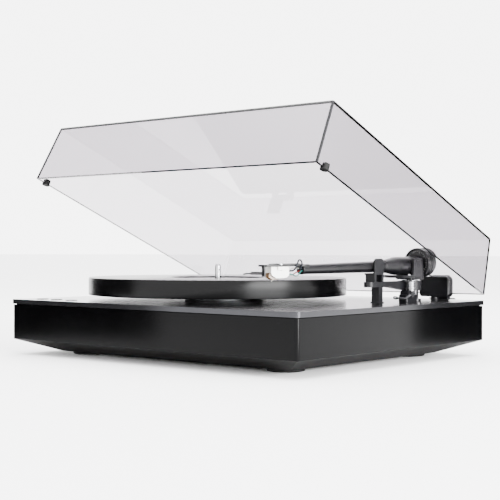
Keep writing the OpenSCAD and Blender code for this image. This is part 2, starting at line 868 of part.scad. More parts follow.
// Clip on the lid's back wall, with the knuckle that turns on the pin
module lid_clip() {
    lean = atan2(lean_back, lid_h);
    difference() {
        union() {
            translate([-clip_w / 2, hinge_y, hinge_z]) rod_x(knuckle_r, clip_w);
            along_x(clip_w) polygon([[lid_back + 0.1 - clip_up * tan(lean), lid_bottom + clip_up],
                [lid_back + clip_t, lid_bottom + clip_up], [hinge_y, hinge_z + knuckle_r],
                [hinge_y - knuckle_r * 0.7, hinge_z - knuckle_r * 0.7]]);
            along_x(clip_w) polygon([[lid_back - clip_up * tan(lean), lid_bottom + clip_up],
                [lid_back + clip_t, lid_bottom + clip_up],
                [lid_back + clip_t - clip_h * tan(lean), lid_bottom + clip_h],
                [lid_back - clip_h * tan(lean), lid_bottom + clip_h]]);
        }
        translate([-bracket_w, hinge_y, hinge_z]) rod_x(pin_r + run_gap, 2 * bracket_w);
    }
}

module lid_clips() {
    color("#1d1d1f") on_lid() for (side = [-1, 1]) translate([side * hinge_from_middle, 0, 0]) lid_clip();
}

module arm_pillar() {
    color("#c3c5c8") about_pivot() difference() {
        union() {
            cylinder(h = pillar_h, r = pillar_r);
            cylinder(h = pillar_foot_t, r = pillar_foot_r);
            translate([0, 0, -plate_t - tail_len]) cylinder(h = plate_t + tail_len, r = tail_r);
        }
        translate([0, 0, -plate_t - tail_len - over])
            cylinder(h = pillar_h + tail_len + plate_t + 2 * over, r = bearing_ring_r);
    }
}

module arm_nut() {
    color("#8f9295") about_pivot() translate([0, 0, -plate_t - 5]) difference() {
        cylinder(h = 5, r = tail_r + 6, $fn = 6);
        translate([0, 0, -over]) cylinder(h = 5 + 2 * over, r = tail_r);
    }
}

module swing_bearings() {
    color("#8a6a3a") about_pivot() for (z = [-plate_t - tail_len + 1, pillar_h - bearing_ring_h - 1])
        translate([0, 0, z]) ring(bearing_ring_r, swing_shaft_r + run_gap, bearing_ring_h);
}

module swing_shaft() {
    color("silver") about_pivot() translate([0, 0, -plate_t - tail_len])
        cylinder(h = plate_t + tail_len + yoke_bottom, r = swing_shaft_r);
}

// Side view of a cheek, moved in by a margin, with its corners cut off
module cheek_outline(in) {
    foot = cheek_foot / 2 - in;
    head = cheek_head / 2 - in;
    low = yoke_bottom + in;
    high = yoke_top - in;
    polygon([
        [-foot + cheek_foot_cut, low], [foot - cheek_foot_cut, low], [foot, low + cheek_foot_cut],
        [head + 0.3, high - cheek_head_cut], [head - cheek_head_cut, high],
        [cheek_head_cut - head, high], [-head - 0.3, high - cheek_head_cut], [-foot, low + cheek_foot_cut]
    ]);
}

module bearing_yoke() {
    color("#7f8084") about_pivot() difference() {
        along_x(2 * cheek_out) cheek_outline(0);
        along_x(2 * cheek_in) translate([-cheek_foot, yoke_bottom + yoke_t])
            square([2 * cheek_foot, yoke_top]);
        translate([-cheek_out + 0.8, 0, axle_h]) rod_x(axle_r + run_gap, 2 * cheek_out - 1.6);
        for (s = [-1, 1]) translate([s * cheek_out, 0, 0]) along_x(1) difference() {
            cheek_outline(cheek_line_out);
            cheek_outline(cheek_line_in);
        }
    }
}

module tilt_axle() {
    color("silver") on_arm() translate([-cheek_out + 1, 0, 0]) rod_x(axle_r, 2 * cheek_out - 2);
}

module arm_tube() {
    color("#1a1a1c") on_arm() difference() {
        rotate([90, 0, 0]) rotate_extrude() polygon([[0, -housing_back], [housing_r - 1.4, -housing_back],
            [housing_r, 1.4 - housing_back], [housing_r, housing_end], [tube_rear_r + 0.8, housing_neck - 2],
            [tube_rear_r + 0.8, housing_neck], [tube_rear_r, housing_neck + 0.6],
            [tube_front_r, tube_end], [0, tube_end]]);
        translate([0, -tube_end - over, 0]) rod_y(tube_front_r - tube_wall, tube_end - housing_end + over);
        for (s = [-1, 1]) translate([s * (cheek_in - cheek_gap + 5), 0, 0])
            cube([10, 28, 30], center = true);
        translate([-cheek_out, 0, 0]) rod_x(axle_r, 2 * cheek_out);
    }
}

module rear_stub() {
    color("#2a2a2c") on_arm() translate([0, housing_back, stub_rise]) {
        rod_y(stub_r, stub_end - housing_back);
    }
}

module counterweight() {
    start = weight_front + dial_len + dial_gap;
    color("#161617") on_arm() translate([0, start, stub_rise]) rotate([-90, 0, 0]) rotate_extrude()
        polygon([
            [stub_r + 0.06, -dial_len - dial_gap], [stub_r + 2.5, -dial_len - dial_gap], [stub_r + 2.5, 0],
            [weight_r - 1, 0], [weight_r, 1], [weight_r, weight_len - 1.6], [weight_r - 1.6, weight_len],
            [stub_r + 4, weight_len], [stub_r + 3, weight_len - 1], [stub_r + 0.06, weight_len - 1]]);
}

module weight_dial() {
    color("#232325") on_arm() translate([0, weight_front, stub_rise]) difference() {
        rod_y(weight_r, dial_len);
        translate([0, -over, 0]) rod_y(stub_r + 2.55, dial_len + 2 * over);
        translate([0, -over, 0]) ring_cut(weight_r - 2.4, weight_r - 7, 1.6);
        for (i = [0:35]) rotate([0, 10 * i, 0]) translate([weight_r + 0.25, 1, 0]) rod_y(0.7, dial_len);
    }
}

// Flat ring-shaped groove about the y axis
module ring_cut(r_out, r_in, depth) {
    difference() {
        rod_y(r_out, depth);
        translate([0, -over, 0]) rod_y(r_in, depth + 2 * over);
    }
}

module headshell() {
    slot_len = 10;
    slot_r = 1.35;
    color("#1b1b1d") on_head() difference() {
        union() {
            translate([0, 0, head_under]) linear_extrude(head_t)
                polygon([[-head_w / 2, -head_len], [head_w / 2, -head_len], [head_w / 2, -head_len + 24],
                    [5.4, -6], [5.4, 3], [-5.4, 3], [-5.4, -6], [-head_w / 2, -head_len + 24]]);
            translate([-1.5, -head_len + 8, head_top - 0.2]) cube([3, head_len - 8, 1.2]);
            rotate([0, 0, head_offset]) translate([-5.2, 0, head_under - 1.6]) cube([10.4, 9, head_t + 1.6]);
        }
        rotate([0, 0, head_offset]) tube_bite();
        for (s = [-1, 1]) translate([s * screw_pitch / 2, -screw_s, head_under - over]) {
            for (e = [-1, 1]) translate([0, e * (slot_len / 2 - slot_r), 0])
                cylinder(h = head_t + 2 * over, r = slot_r);
            translate([-slot_r, slot_r - slot_len / 2, 0])
                cube([2 * slot_r, slot_len - 2 * slot_r, head_t + 2 * over]);
        }
    }
}

// Room for the tube's end under the headshell's saddle
module tube_bite() {
    taper = (tube_rear_r - tube_front_r) / (tube_end - housing_neck - 0.6);
    rotate([-90, 0, 0]) cylinder(h = 14, r1 = tube_front_r + 0.02, r2 = tube_front_r + 0.02 + 14 * taper);
}

module finger_lift() {
    plate_y = 1.3;
    reach = 18.8;
    color("#1b1b1d") on_head() translate([head_w / 2 - 5, -head_len, -2.8]) {
        translate([-3, -plate_y, -3.6]) cube([6, plate_y, 3.6 + 2.8 + head_top]);
        translate([0, -plate_y - reach, 0]) rod_y(0.8, reach + plate_y / 2);
        translate([0, -plate_y - reach, 0]) sphere(0.92, $fn = 64);
        translate([0, -plate_y - reach, 0]) rotate([100, 0, 0]) cylinder(h = 3.6, r = 0.8);
    }
}

module cartridge_body() {
    color("#f1efe9") on_head() {
        difference() {
            union() {
                along_x(cart_w - 3.5) polygon([[-body_s1, head_under], [-body_s0, head_under],
                    [-body_s0, head_under - 9], [-body_s0 - 3, head_under - 11.4],
                    [-body_s1 + 6, cart_bottom + 1.5],
                    [-body_s1 + 1, cart_bottom + 4.5], [-body_s1, head_under - 6]]);
                translate([-cart_w / 2, -screw_s - 4, head_under - 3.4]) cube([cart_w, 8, 3.4]);
            }
            for (s = [-1, 1]) translate([s * screw_pitch / 2, -screw_s, head_under - 4])
                cylinder(h = 5, r = 1.3);
        }
        for (x = [-2.6, 2.6], z = [-1, -4.6]) translate([x, -body_s0 - 1, z]) rod_y(0.5, 6);
    }
}

module cartridge_screws() {
    color("silver") on_head() for (s = [-1, 1]) translate([s * screw_pitch / 2, -screw_s, head_top]) {
        cylinder(h = 1.4, r = 2.2);
        translate([0, 0, -head_t - 3]) cylinder(h = head_t + 3.4, r = 1.25);
    }
}

module stylus_holder() {
    color("#6a5130") on_head() along_x(8) polygon([[-body_s1 + 6, cart_bottom + 1.5],
        [-body_s1 + 1, cart_bottom + 4.5], [-body_s1, head_under - 6.2], [-body_s1 - 1.2, head_under - 6.2],
        [-body_s1 - 1.8, cart_bottom + 2.6], [-body_s1 + 2.4, cart_bottom - 0.1],
        [-body_s1 + 9, cart_bottom + 0.2], [-body_s1 + 10.4, cart_bottom + 1.1]]);
}

module stylus() {
    start = [0, -body_s1 + 6, cart_bottom + 0.6];
    tip = [0, -stylus_s, head_under - stylus_drop];
    color("#c9c2b2") on_head() {
        rod_between(start, tip) cylinder(h = norm(tip - start), r = 0.35);
        translate(tip) cylinder(h = 0.7, r1 = 0.05, r2 = 0.3);
    }
}

// Point on a smooth curve through four neighbours, t from 0 to 1 between the middle two
function curve_point(a, b, c, d, t) = 0.5 * (2 * b + (c - a) * t + (2 * a - 5 * b + 4 * c - d) * t * t
    + (3 * b - a - 3 * c + d) * t * t * t);
function curve_points(pts, steps) = let (n = len(pts)) [for (i = [0:n - 2], k = [0:steps - 1])
    curve_point(pts[max(i - 1, 0)], pts[i], pts[i + 1], pts[min(i + 2, n - 1)], k / steps), pts[n - 1]];
function unit(v) = v / norm(v);

// Closed tube swept along the given points
module swept_tube(pts, r, sides) {
    n = len(pts);
    rings = [for (i = [0:n - 1]) let (
        along = unit(pts[min(i + 1, n - 1)] - pts[max(i - 1, 0)]),
        across = unit(cross(along, [0, 0, 1])),
        up = cross(across, along))
        for (k = [0:sides - 1]) pts[i] + r * (cos(360 * k / sides) * across + sin(360 * k / sides) * up)];
    skin = [for (i = [0:n - 2], k = [0:sides - 1]) let (m = (k + 1) % sides)
        [i * sides + k, i * sides + m, (i + 1) * sides + m, (i + 1) * sides + k]];
    polyhedron(rings, concat([[for (k = [0:sides - 1]) sides - 1 - k]],
        skin, [[for (k = [0:sides - 1]) (n - 1) * sides + k]]));
}

module cartridge_leads() {
    color("#c7c2b8") on_head() for (path = lead_paths)
        swept_tube(curve_points(path, lead_steps), lead_r, lead_sides);
}

module rest_bracket() {
    color("#161617") about_pivot() difference() {
        union() {
            translate([0, 0, collar_low]) cylinder(h = bracket_top - collar_low, r = collar_r);
            along_x(2 * bracket_half) polygon([
                [-bracket_end + bracket_round, bracket_top], [0, bracket_top], [0, collar_low],
                [-gusset_near, collar_low], [-gusset_far, bracket_under],
                [-bracket_end + bracket_round, bracket_under]
            ]);
            translate([0, -bracket_end + bracket_round, bracket_under])
                cylinder(h = bracket_top - bracket_under, r = bracket_half);
            translate([-leg_w / 2, -leg_far, leg_foot_t / 2]) cube([leg_w, leg_d, bracket_under]);
            translate([-leg_w / 2 - 1, -leg_far - 1, 0]) cube([leg_w + 2, leg_d + 2, leg_foot_t]);
        }
        translate([0, 0, -over]) cylinder(h = pillar_h + 2 * over, r = pillar_r);
        translate([0, 0, pillar_foot_t]) cylinder(h = 10 - over, r = collar_r + over);
    }
}

module arm_rest() {
    mid = (rest_from + rest_to) / 2;
    half = (rest_to - rest_from) / 2;
    seat = axle_h - mid * sin(arm_slope) - rest_seat_r(mid) - rest_gap;
    color("#141415") about_pivot() {
        for (y = [rest_from + 1.8, rest_to - 1.8])
            translate([-3.5, -y - 1.8, bracket_top])
                cube([rest_wall_in + rest_wall_t + 3.5, 3.6, seat - 2 - bracket_top]);
        translate([-5, -rest_to, seat - 2.4])
            cube([rest_wall_in + rest_wall_t + 5, rest_to - rest_from, 2.1]);
        translate([rest_wall_in + rest_wall_t / 2, -mid, 0]) along_x(rest_wall_t)
            rest_wall_outline(half, seat - 2.4);
    }
}

// Radius of the tube at a distance in front of the axle
function rest_seat_r(y) = tube_rear_r
    + (tube_front_r - tube_rear_r) * (y - housing_neck) / (tube_end - housing_neck);

module rest_wall_outline(half, bottom) {
    top = axle_h + 8.4;
    r = 5;
    translate([-half, bottom]) square([2 * half, top - r - bottom]);
    translate([r - half, bottom]) square([2 * half - 2 * r, top - bottom]);
    for (s = [-1, 1]) translate([s * (half - r), top - r]) circle(r, $fn = 32);
}

module lift_housing() {
    color("#17171a") about_pivot() difference() {
        union() {
            translate([lift_x, lift_y - 6, 0]) rounded_slab(lift_box[0], lift_box[1], lift_box[2], 2);
            translate([lift_x, lift_y, lift_box[2] - over])
                cylinder(h = lift_top - lift_box[2] + over, r = lift_r);
            translate([lift_x - lift_box[0] / 2, lever_y + 4, lever_z]) rod_x(4, lift_box[0]);
        }
        translate([lift_x, lift_y, 10]) cylinder(h = 20, r = lift_rod_r + run_gap);
        translate([lift_x - lift_box[0] / 2 + 3, lever_y + 4, lever_z])
            rod_x(lever_pin_r + run_gap, lift_box[0]);
    }
}

// Curved band under the arm, carried by the lift's rod
module lift_platform() {
    color("#1d1d20") about_pivot() {
        translate([lift_x, lift_y, 12]) cylinder(h = band_bottom + band_t / 2 - 12, r = lift_rod_r);
        translate([0, 0, band_bottom]) linear_extrude(band_t) union() {
            difference() {
                circle(band_out, $fn = 96);
                circle(band_in, $fn = 96);
                rotate(-48) translate([-2 * band_out, -2 * band_out]) square([2 * band_out, 4 * band_out]);
                rotate(42) translate([0, -2 * band_out]) square([2 * band_out, 4 * band_out]);
            }
            rotate(atan2(lift_x, -lift_y)) translate([-2.6, -band_in - 3])
                square([5.2, band_in + 3 - norm([lift_x, lift_y])]);
            translate([lift_x, lift_y]) circle(2.7);
        }
    }
}

module cue_lever() {
    color("#b6b8bb") about_pivot() translate([lever_x + 0.4, lever_y + 4, lever_z]) {
        rod_x(3.6, 3);
        translate([-8, 0, 0]) rod_x(lever_pin_r, 9);
        translate([1.5, 0, 0]) lever_rod();
    }
}

// Bent handle of the cue lever: down, then forwards, with a knob at its end
module lever_rod() {
    knee = [0, -14, -5];
    tip = [0, -38, -3];
    knob_len = 7;
    run = norm(tip - knee);
    rod_between([0, 0, 0], knee) cylinder(h = norm(knee) + 0.8, r = 1.3);
    rod_between(knee, tip) rotate_extrude() polygon([[0, 0], [1.1, 0], [1.1, run - knob_len],
        [1.9, run - knob_len + 1], [1.9, run - 1], [1.2, run], [0, run]]);
}

// Turns the z axis to run from one point to another in the y-z plane
module rod_between(from, to) {
    run = to - from;
    translate(from) rotate([90 + atan2(-run[2], -run[1]), 0, 0]) children();
}

// Block with all its long edges cut off at 45 degrees
module bevelled_block(size, cut) {
    intersection() {
        linear_extrude(size[2]) bevelled_outline(size[0], size[1], cut / 2);
        translate([0, 0, size[2] / 2]) rotate([90, 0, 0]) linear_extrude(size[1], center = true)
            bevelled_outline(size[0], size[2], cut);
    }
}

module bevelled_outline(w, d, c) {
    polygon([[-w / 2 + c, -d / 2], [w / 2 - c, -d / 2], [w / 2, c - d / 2], [w / 2, d / 2 - c],
        [w / 2 - c, d / 2], [c - w / 2, d / 2], [-w / 2, d / 2 - c], [-w / 2, c - d / 2]]);
}

module anti_skate_housing() {
    color("#16161c") about_pivot() translate([skate_mid[0], skate_mid[1], 0]) difference() {
        union() {
            translate([0, 0, skate_foot_h])
                bevelled_block([skate_box[0], skate_box[1], skate_box[2] - 0.8], 3.4);
            translate([-2, 0, 0]) cylinder(h = skate_foot_h + over, r = 4.6);
            translate([-2, 0, 0]) cylinder(h = 1, r = 5.4);
        }
        translate([-13, -1.6, skate_foot_h + skate_box[2] - 4.8]) cube([26, 3.2, 6]);
    }
}

module anti_skate_slider() {
    color("#c9cbce") about_pivot()
        translate([skate_mid[0] - 6, skate_mid[1], skate_foot_h + skate_box[2] - 4]) {
            translate([-2, -1.3, 0]) cube([4, 2.6, 3.6]);
            translate([-2.6, -2.4, 3.5]) cube([5.2, 4.8, 1.6]);
        }
}

plinth_body();
top_plate();
base_cover();
foot_pads();
base_screws();
motor_base();
bearing_housing();
bearing_bushes();
thrust_ball();
stator_core();
stator_coils();
platter();
platter_hub();
rotor_magnet();
spindle();
power_button();
speed_33_button();
speed_45_button();
button_board();
status_light();
main_board();
wireless_board();
rear_panel();
audio_sockets();
socket_inserts();
ground_post();
ground_nut();
dc_inlet();
phono_switch();
pairing_button();
lid_cover();
lid_bumpers();
hinge_brackets();
hinge_pins();
lid_clips();
hinge_screws();
arm_pillar();
arm_nut();
swing_bearings();
swing_shaft();
bearing_yoke();
tilt_axle();
arm_tube();
rear_stub();
counterweight();
weight_dial();
headshell();
finger_lift();
cartridge_body();
cartridge_screws();
stylus_holder();
stylus();
cartridge_leads();
rest_bracket();
arm_rest();
lift_housing();
lift_platform();
cue_lever();
anti_skate_housing();
anti_skate_slider();
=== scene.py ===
"""Turntable record player with a clear cover: the looks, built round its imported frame."""

import json
import logging
import math
from dataclasses import dataclass
from enum import Enum

import bmesh
import bpy
from mathutils import Matrix, Vector

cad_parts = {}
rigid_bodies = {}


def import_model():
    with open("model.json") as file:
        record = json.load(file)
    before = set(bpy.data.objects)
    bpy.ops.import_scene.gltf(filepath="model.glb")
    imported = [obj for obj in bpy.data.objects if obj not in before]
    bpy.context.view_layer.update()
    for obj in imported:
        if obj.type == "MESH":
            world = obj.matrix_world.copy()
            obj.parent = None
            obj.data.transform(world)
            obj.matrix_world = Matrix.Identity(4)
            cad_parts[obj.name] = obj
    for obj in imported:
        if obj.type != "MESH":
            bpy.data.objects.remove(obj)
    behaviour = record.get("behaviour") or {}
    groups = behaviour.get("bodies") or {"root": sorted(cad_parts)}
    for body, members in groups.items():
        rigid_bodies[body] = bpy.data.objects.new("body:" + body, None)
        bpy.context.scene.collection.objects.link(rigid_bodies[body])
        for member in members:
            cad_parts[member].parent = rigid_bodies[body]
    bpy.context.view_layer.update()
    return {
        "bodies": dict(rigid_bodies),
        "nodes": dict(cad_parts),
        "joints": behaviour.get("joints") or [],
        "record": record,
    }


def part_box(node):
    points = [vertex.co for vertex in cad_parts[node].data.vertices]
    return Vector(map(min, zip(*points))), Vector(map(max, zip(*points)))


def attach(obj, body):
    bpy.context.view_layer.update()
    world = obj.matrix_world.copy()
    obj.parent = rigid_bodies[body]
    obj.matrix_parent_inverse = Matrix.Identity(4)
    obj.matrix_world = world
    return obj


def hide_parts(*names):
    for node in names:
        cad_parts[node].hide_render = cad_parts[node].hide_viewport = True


log = logging.getLogger("record_player")

Colour = tuple[float, float, float]
Profile = list[tuple[float, float]]
Piece = bpy.types.Object
MeshWork = bmesh.types.BMesh
Tree = bpy.types.NodeTree
Socket = bpy.types.NodeSocket

QUARTER_TURN = math.pi / 2
BEVEL_ANGLE = math.radians(30)
SHARP_ANGLE = math.radians(32)
FLAT_ANGLE = math.radians(0.5)
COAT_ROUGHNESS = 0.12


def add_node(tree: Tree, kind: str, feeds: dict, **choices: str) -> bpy.types.Node:
    """Adds a shader node with its choices and its inputs.

    Args:
        tree: the node tree that it joins.
        kind: the node's type, without the prefix that all types share.
        feeds: for each input, its constant or the socket that feeds it.
        choices: the node's own settings, such as its operation.

    Returns:
        The node.
    """
    node = tree.nodes.new(f"ShaderNode{kind}")
    for key, value in choices.items():
        setattr(node, key, value)
    for key, value in feeds.items():
        if isinstance(value, Socket):
            tree.links.new(value, node.inputs[key])
        else:
            node.inputs[key].default_value = value
    return node


class Grain(Enum):
    """How a surface was worked, which sets the direction of its fine texture."""

    MOULDED = "even fine texture"
    BRUSHED = "long lines along x"
    TURNED_Z = "rings about an upright axis"
    TURNED_Y = "rings about the arm's length"
    CAST = "coarse pebbled skin"


@dataclass(frozen=True)
class Finish:
    """An opaque finish: colour, gloss and the fine texture that its making leaves."""

    name: str
    colour: Colour
    roughness: float
    metallic: float = 0.0
    grain: Grain = Grain.MOULDED
    grain_size: float = 0.0012
    grain_depth: float = 0.00002
    colour_spread: float = 0.12
    rough_spread: float = 0.05
    coat: float = 0.0
    specular: float = 0.5

    def material(self) -> bpy.types.Material:
        """Makes the finish's material once, and finds it again after that.

        Returns:
            The material.
        """
        found = bpy.data.materials.get(self.name)
        if found:
            return found
        mat = bpy.data.materials.new(self.name)
        mat.use_nodes = True
        tree = mat.node_tree
        shader = tree.nodes["Principled BSDF"]
        shader.inputs["Metallic"].default_value = self.metallic
        shader.inputs["Coat Weight"].default_value = self.coat
        shader.inputs["Coat Roughness"].default_value = COAT_ROUGHNESS
        shader.inputs["Specular IOR Level"].default_value = self.specular
        place = add_node(tree, "TexCoord", {}).outputs["Object"]
        fine = self._fine_texture(tree, place)
        broad = add_node(tree, "TexNoise", {"Scale": 38.0, "Detail": 4.0, "Vector": place}).outputs["Fac"]
        self._tint(tree, shader, broad)
        self._gloss(tree, shader, broad, fine)
        bump = add_node(tree, "Bump", {"Strength": 0.6, "Distance": self.grain_depth, "Height": fine})
        tree.links.new(bump.outputs["Normal"], shader.inputs["Normal"])
        return mat

    def _fine_texture(self, tree: Tree, place: Socket) -> Socket:
        """Adds the fine texture that fits the way the surface was worked.

        Args:
            tree: the material's node tree.
            place: the socket that gives the place on the object.

        Returns:
            The socket that gives the texture's height, from 0 to 1.
        """
        shift = add_node(tree, "Mapping", {"Vector": place}, vector_type="TEXTURE")
        noise = add_node(tree, "TexNoise", {"Detail": 5.0, "Scale": 1.0 / self.grain_size})
        if self.grain in (Grain.TURNED_Z, Grain.TURNED_Y):
            kept = (1, 1, 0) if self.grain is Grain.TURNED_Z else (1, 0, 1)
            flat = add_node(tree, "VectorMath", {0: shift.outputs["Vector"], 1: kept}, operation="MULTIPLY")
            size = add_node(tree, "VectorMath", {0: flat.outputs["Vector"]}, operation="LENGTH")
            noise.noise_dimensions = "1D"
            tree.links.new(size.outputs["Value"], noise.inputs["W"])
        else:
            if self.grain is Grain.BRUSHED:
                shift.inputs["Scale"].default_value = (30.0, 1.0, 1.0)
            if self.grain is Grain.CAST:
                noise.inputs["Roughness"].default_value = 0.75
            tree.links.new(shift.outputs["Vector"], noise.inputs["Vector"])
        return noise.outputs["Fac"]

    def _tint(self, tree: Tree, shader: bpy.types.Node, broad: Socket) -> None:
        """Lets the colour drift a little over the surface.

        Args:
            tree: the material's node tree.
            shader: its main shader.
            broad: the slow noise that the drift follows.
        """
        ramp = add_node(tree, "ValToRGB", {"Fac": broad})
        for spot, sign in zip(ramp.color_ramp.elements, (-1, 1)):
            spot.color = (*(min(c * (1 + sign * self.colour_spread), 1.0) for c in self.colour), 1.0)
        ramp.color_ramp.elements[0].position = 0.35
        ramp.color_ramp.elements[1].position = 0.65
        tree.links.new(ramp.outputs["Color"], shader.inputs["Base Color"])

    def _gloss(self, tree: Tree, shader: bpy.types.Node, broad: Socket,
               fine: Socket) -> None:
        """Lets the roughness follow both textures.

        Args:
            tree: the material's node tree.
            shader: its main shader.
            broad: the slow noise.
            fine: the fine texture's height.
        """
        both = add_node(tree, "Math", {0: broad, 1: fine}, operation="MULTIPLY")
        spread = add_node(tree, "MapRange", {
            "Value": both.outputs["Value"],
            "From Max": 0.5,
            "To Min": max(self.roughness - self.rough_spread, 0.02),
            "To Max": min(self.roughness + self.rough_spread, 1.0),
        })
        tree.links.new(spread.outputs["Result"], shader.inputs["Roughness"])


@dataclass(frozen=True)
class SmokedAcrylic:
    """Clear grey acrylic that darkens with the distance light goes through it."""

    name: str
    absorbs: Colour
    density: float
    index: float = 1.49
    smear_roughness: float = 0.02

    def material(self) -> bpy.types.Material:
        """Makes the acrylic's material.

        Returns:
            The material.
        """
        mat = bpy.data.materials.new(self.name)
        mat.use_nodes = True
        tree = mat.node_tree
        shader = tree.nodes["Principled BSDF"]
        shader.inputs["Base Color"].default_value = (1.0, 1.0, 1.0, 1.0)
        shader.inputs["Transmission Weight"].default_value = 1.0
        shader.inputs["IOR"].default_value = self.index
        place = add_node(tree, "TexCoord", {}).outputs["Object"]
        smear = add_node(tree, "TexNoise", {"Scale": 9.0, "Detail": 3.0, "Vector": place}).outputs["Fac"]
        spread = add_node(tree, "MapRange", {"Value": smear, "To Min": 0.0, "To Max": self.smear_roughness})
        tree.links.new(spread.outputs["Result"], shader.inputs["Roughness"])
        soak = add_node(tree, "VolumeAbsorption", {"Color": (*self.absorbs, 1.0), "Density": self.density})
        tree.links.new(soak.outputs["Volume"], tree.nodes["Material Output"].inputs["Volume"])
        return mat


LACQUER = Finish("satin_black_lacquer", (0.0003, 0.0003, 0.0004), 0.17, grain_size=0.0009,
                 grain_depth=0.000003, rough_spread=0.03, specular=0.06)
UNDERSIDE = Finish("matt_black_underside", (0.0006, 0.0006, 0.0007), 0.55, grain=Grain.CAST,
                   grain_size=0.0008, grain_depth=0.00001, specular=0.03)
ANODISED = Finish("dark_anodised_plate", (0.032, 0.0322, 0.035), 0.20, metallic=0.9, grain=Grain.BRUSHED,
                  grain_size=0.00035, grain_depth=0.000004, colour_spread=0.05, rough_spread=0.015)
ACETAL = Finish("turned_black_acetal", (0.0004, 0.0004, 0.0005), 0.25, grain=Grain.TURNED_Z,
                grain_size=0.0011, grain_depth=0.000004, colour_spread=0.06, rough_spread=0.015,
                specular=0.10)
POWDER = Finish("black_powder_coat", (0.004, 0.004, 0.0042), 0.55, grain=Grain.CAST, grain_size=0.0007,
                grain_depth=0.00003, specular=0.2)
RUBBER = Finish("black_rubber", (0.003, 0.003, 0.003), 0.68, grain=Grain.CAST, grain_size=0.0009,
                grain_depth=0.00003, specular=0.15)
BLACK_ARM = Finish("satin_black_anodised", (0.0025, 0.0024, 0.0030), 0.30, grain=Grain.TURNED_Y,
                   grain_size=0.0008, grain_depth=0.000004, specular=0.22)
BLACK_CAST = Finish("black_moulded", (0.0030, 0.0030, 0.0038), 0.36, grain_size=0.0008, grain_depth=0.000012,
                    specular=0.18)
GREY_YOKE = Finish("grey_satin_yoke", (0.016, 0.0155, 0.017), 0.40, metallic=0.5, grain_size=0.0006,
                   grain_depth=0.000008, specular=0.2)
BRIGHT = Finish("bright_satin_metal", (0.17, 0.17, 0.175), 0.28, metallic=1.0, grain=Grain.BRUSHED,
                grain_size=0.0002, grain_depth=0.000003, colour_spread=0.05)
LEVER = Finish("grey_turned_metal", (0.07, 0.07, 0.074), 0.30, metallic=0.9, grain_size=0.0005,
               grain_depth=0.000004)
STEEL = Finish("polished_steel", (0.34, 0.34, 0.35), 0.14, metallic=1.0, grain=Grain.TURNED_Z,
               grain_size=0.0006, grain_depth=0.000002, colour_spread=0.03)
CASTING = Finish("cast_alloy", (0.15, 0.155, 0.16), 0.50, metallic=1.0, grain=Grain.CAST, grain_size=0.0011,
                 grain_depth=0.00004)
BLACKENED = Finish("blackened_steel", (0.012, 0.012, 0.0125), 0.40, metallic=0.9, grain_size=0.0005)
BRONZE = Finish("sintered_bronze", (0.20, 0.12, 0.05), 0.45, metallic=1.0, grain_size=0.0004)
GOLD = Finish("gold_plate", (0.42, 0.29, 0.10), 0.20, metallic=1.0, grain=Grain.TURNED_Y, grain_size=0.0005,
              grain_depth=0.000004, colour_spread=0.04)
COPPER = Finish("enamelled_wire", (0.26, 0.10, 0.03), 0.30, metallic=0.8, coat=0.4, grain=Grain.TURNED_Z,
                grain_size=0.0006, grain_depth=0.00006)
LAMINATE = Finish("lacquered_laminations", (0.07, 0.07, 0.075), 0.45, metallic=0.8, grain_size=0.0005)
FERRITE = Finish("ferrite", (0.012, 0.012, 0.012), 0.60, grain=Grain.CAST, grain_size=0.0006)
BOARD_GREEN = Finish("green_solder_mask", (0.004, 0.035, 0.012), 0.35, coat=0.3, grain_size=0.002)
BOARD_BLUE = Finish("blue_solder_mask", (0.004, 0.014, 0.06), 0.35, coat=0.3, grain_size=0.002)
PANEL = Finish("black_panel", (0.0035, 0.0035, 0.004), 0.50, grain=Grain.CAST, grain_size=0.0005,
               specular=0.2)
WHITE = Finish("white_moulding", (0.62, 0.61, 0.58), 0.28, coat=0.2, colour_spread=0.03, grain_depth=0.000006)
RED = Finish("red_moulding", (0.20, 0.008, 0.006), 0.32, coat=0.2, grain_depth=0.000006)
AMBER = Finish("golden_brown_moulding", (0.085, 0.042, 0.012), 0.28, coat=0.3, colour_spread=0.2)
CANTILEVER = Finish("drawn_tube", (0.40, 0.38, 0.34), 0.25, metallic=1.0)
WHITE_MARK = Finish("pale_marking", (0.22, 0.22, 0.22), 0.55, colour_spread=0.03)
LENS = Finish("frosted_light", (0.20, 0.22, 0.24), 0.35, coat=0.3, colour_spread=0.04)
# painted shade: a dark finish for the cover's edge bevels, standing in for the darkening that light gives the
# acrylic's edges
EDGE_SHADE = Finish("painted_edge_shade", (0.0045, 0.0045, 0.0055), 0.25, colour_spread=0.2, grain_size=0.0015,
              specular=0.2)
PAPER = Finish("pale_floor", (0.90, 0.90, 0.90), 0.85, colour_spread=0.004, grain_size=0.004,
               grain_depth=0.00001)
LEADS = (
    Finish("black_lead", (0.004, 0.005, 0.008), 0.45, grain_size=0.0004, specular=0.2),
    Finish("white_lead", (0.42, 0.42, 0.39), 0.45, grain_size=0.0004, colour_spread=0.05),
    Finish("red_lead", (0.16, 0.006, 0.005), 0.45, grain_size=0.0004),
    Finish("green_lead", (0.006, 0.075, 0.065), 0.45, grain_size=0.0004),
)


def new_object(name: str, work: MeshWork, finish: Finish | SmokedAcrylic,
               sharp: float | None = None) -> Piece:
    """Turns mesh work into an object in the scene.

    Args:
        name: the object's name, and its mesh's.
        work: its mesh work, which is used up.
        finish: its finish.
        sharp: the angle from which an edge stays sharp, or None for flat faces.

    Returns:
        The object.
    """
    mesh = bpy.data.meshes.new(name)
    work.to_mesh(mesh)
    work.free()
    mesh.materials.append(finish.material())
    if sharp is not None:
        mesh.polygons.foreach_set("use_smooth", [True] * len(mesh.polygons))
        mesh.set_sharp_from_angle(angle=sharp)
    obj = bpy.data.objects.new(name, mesh)
    bpy.context.scene.collection.objects.link(obj)
    return obj


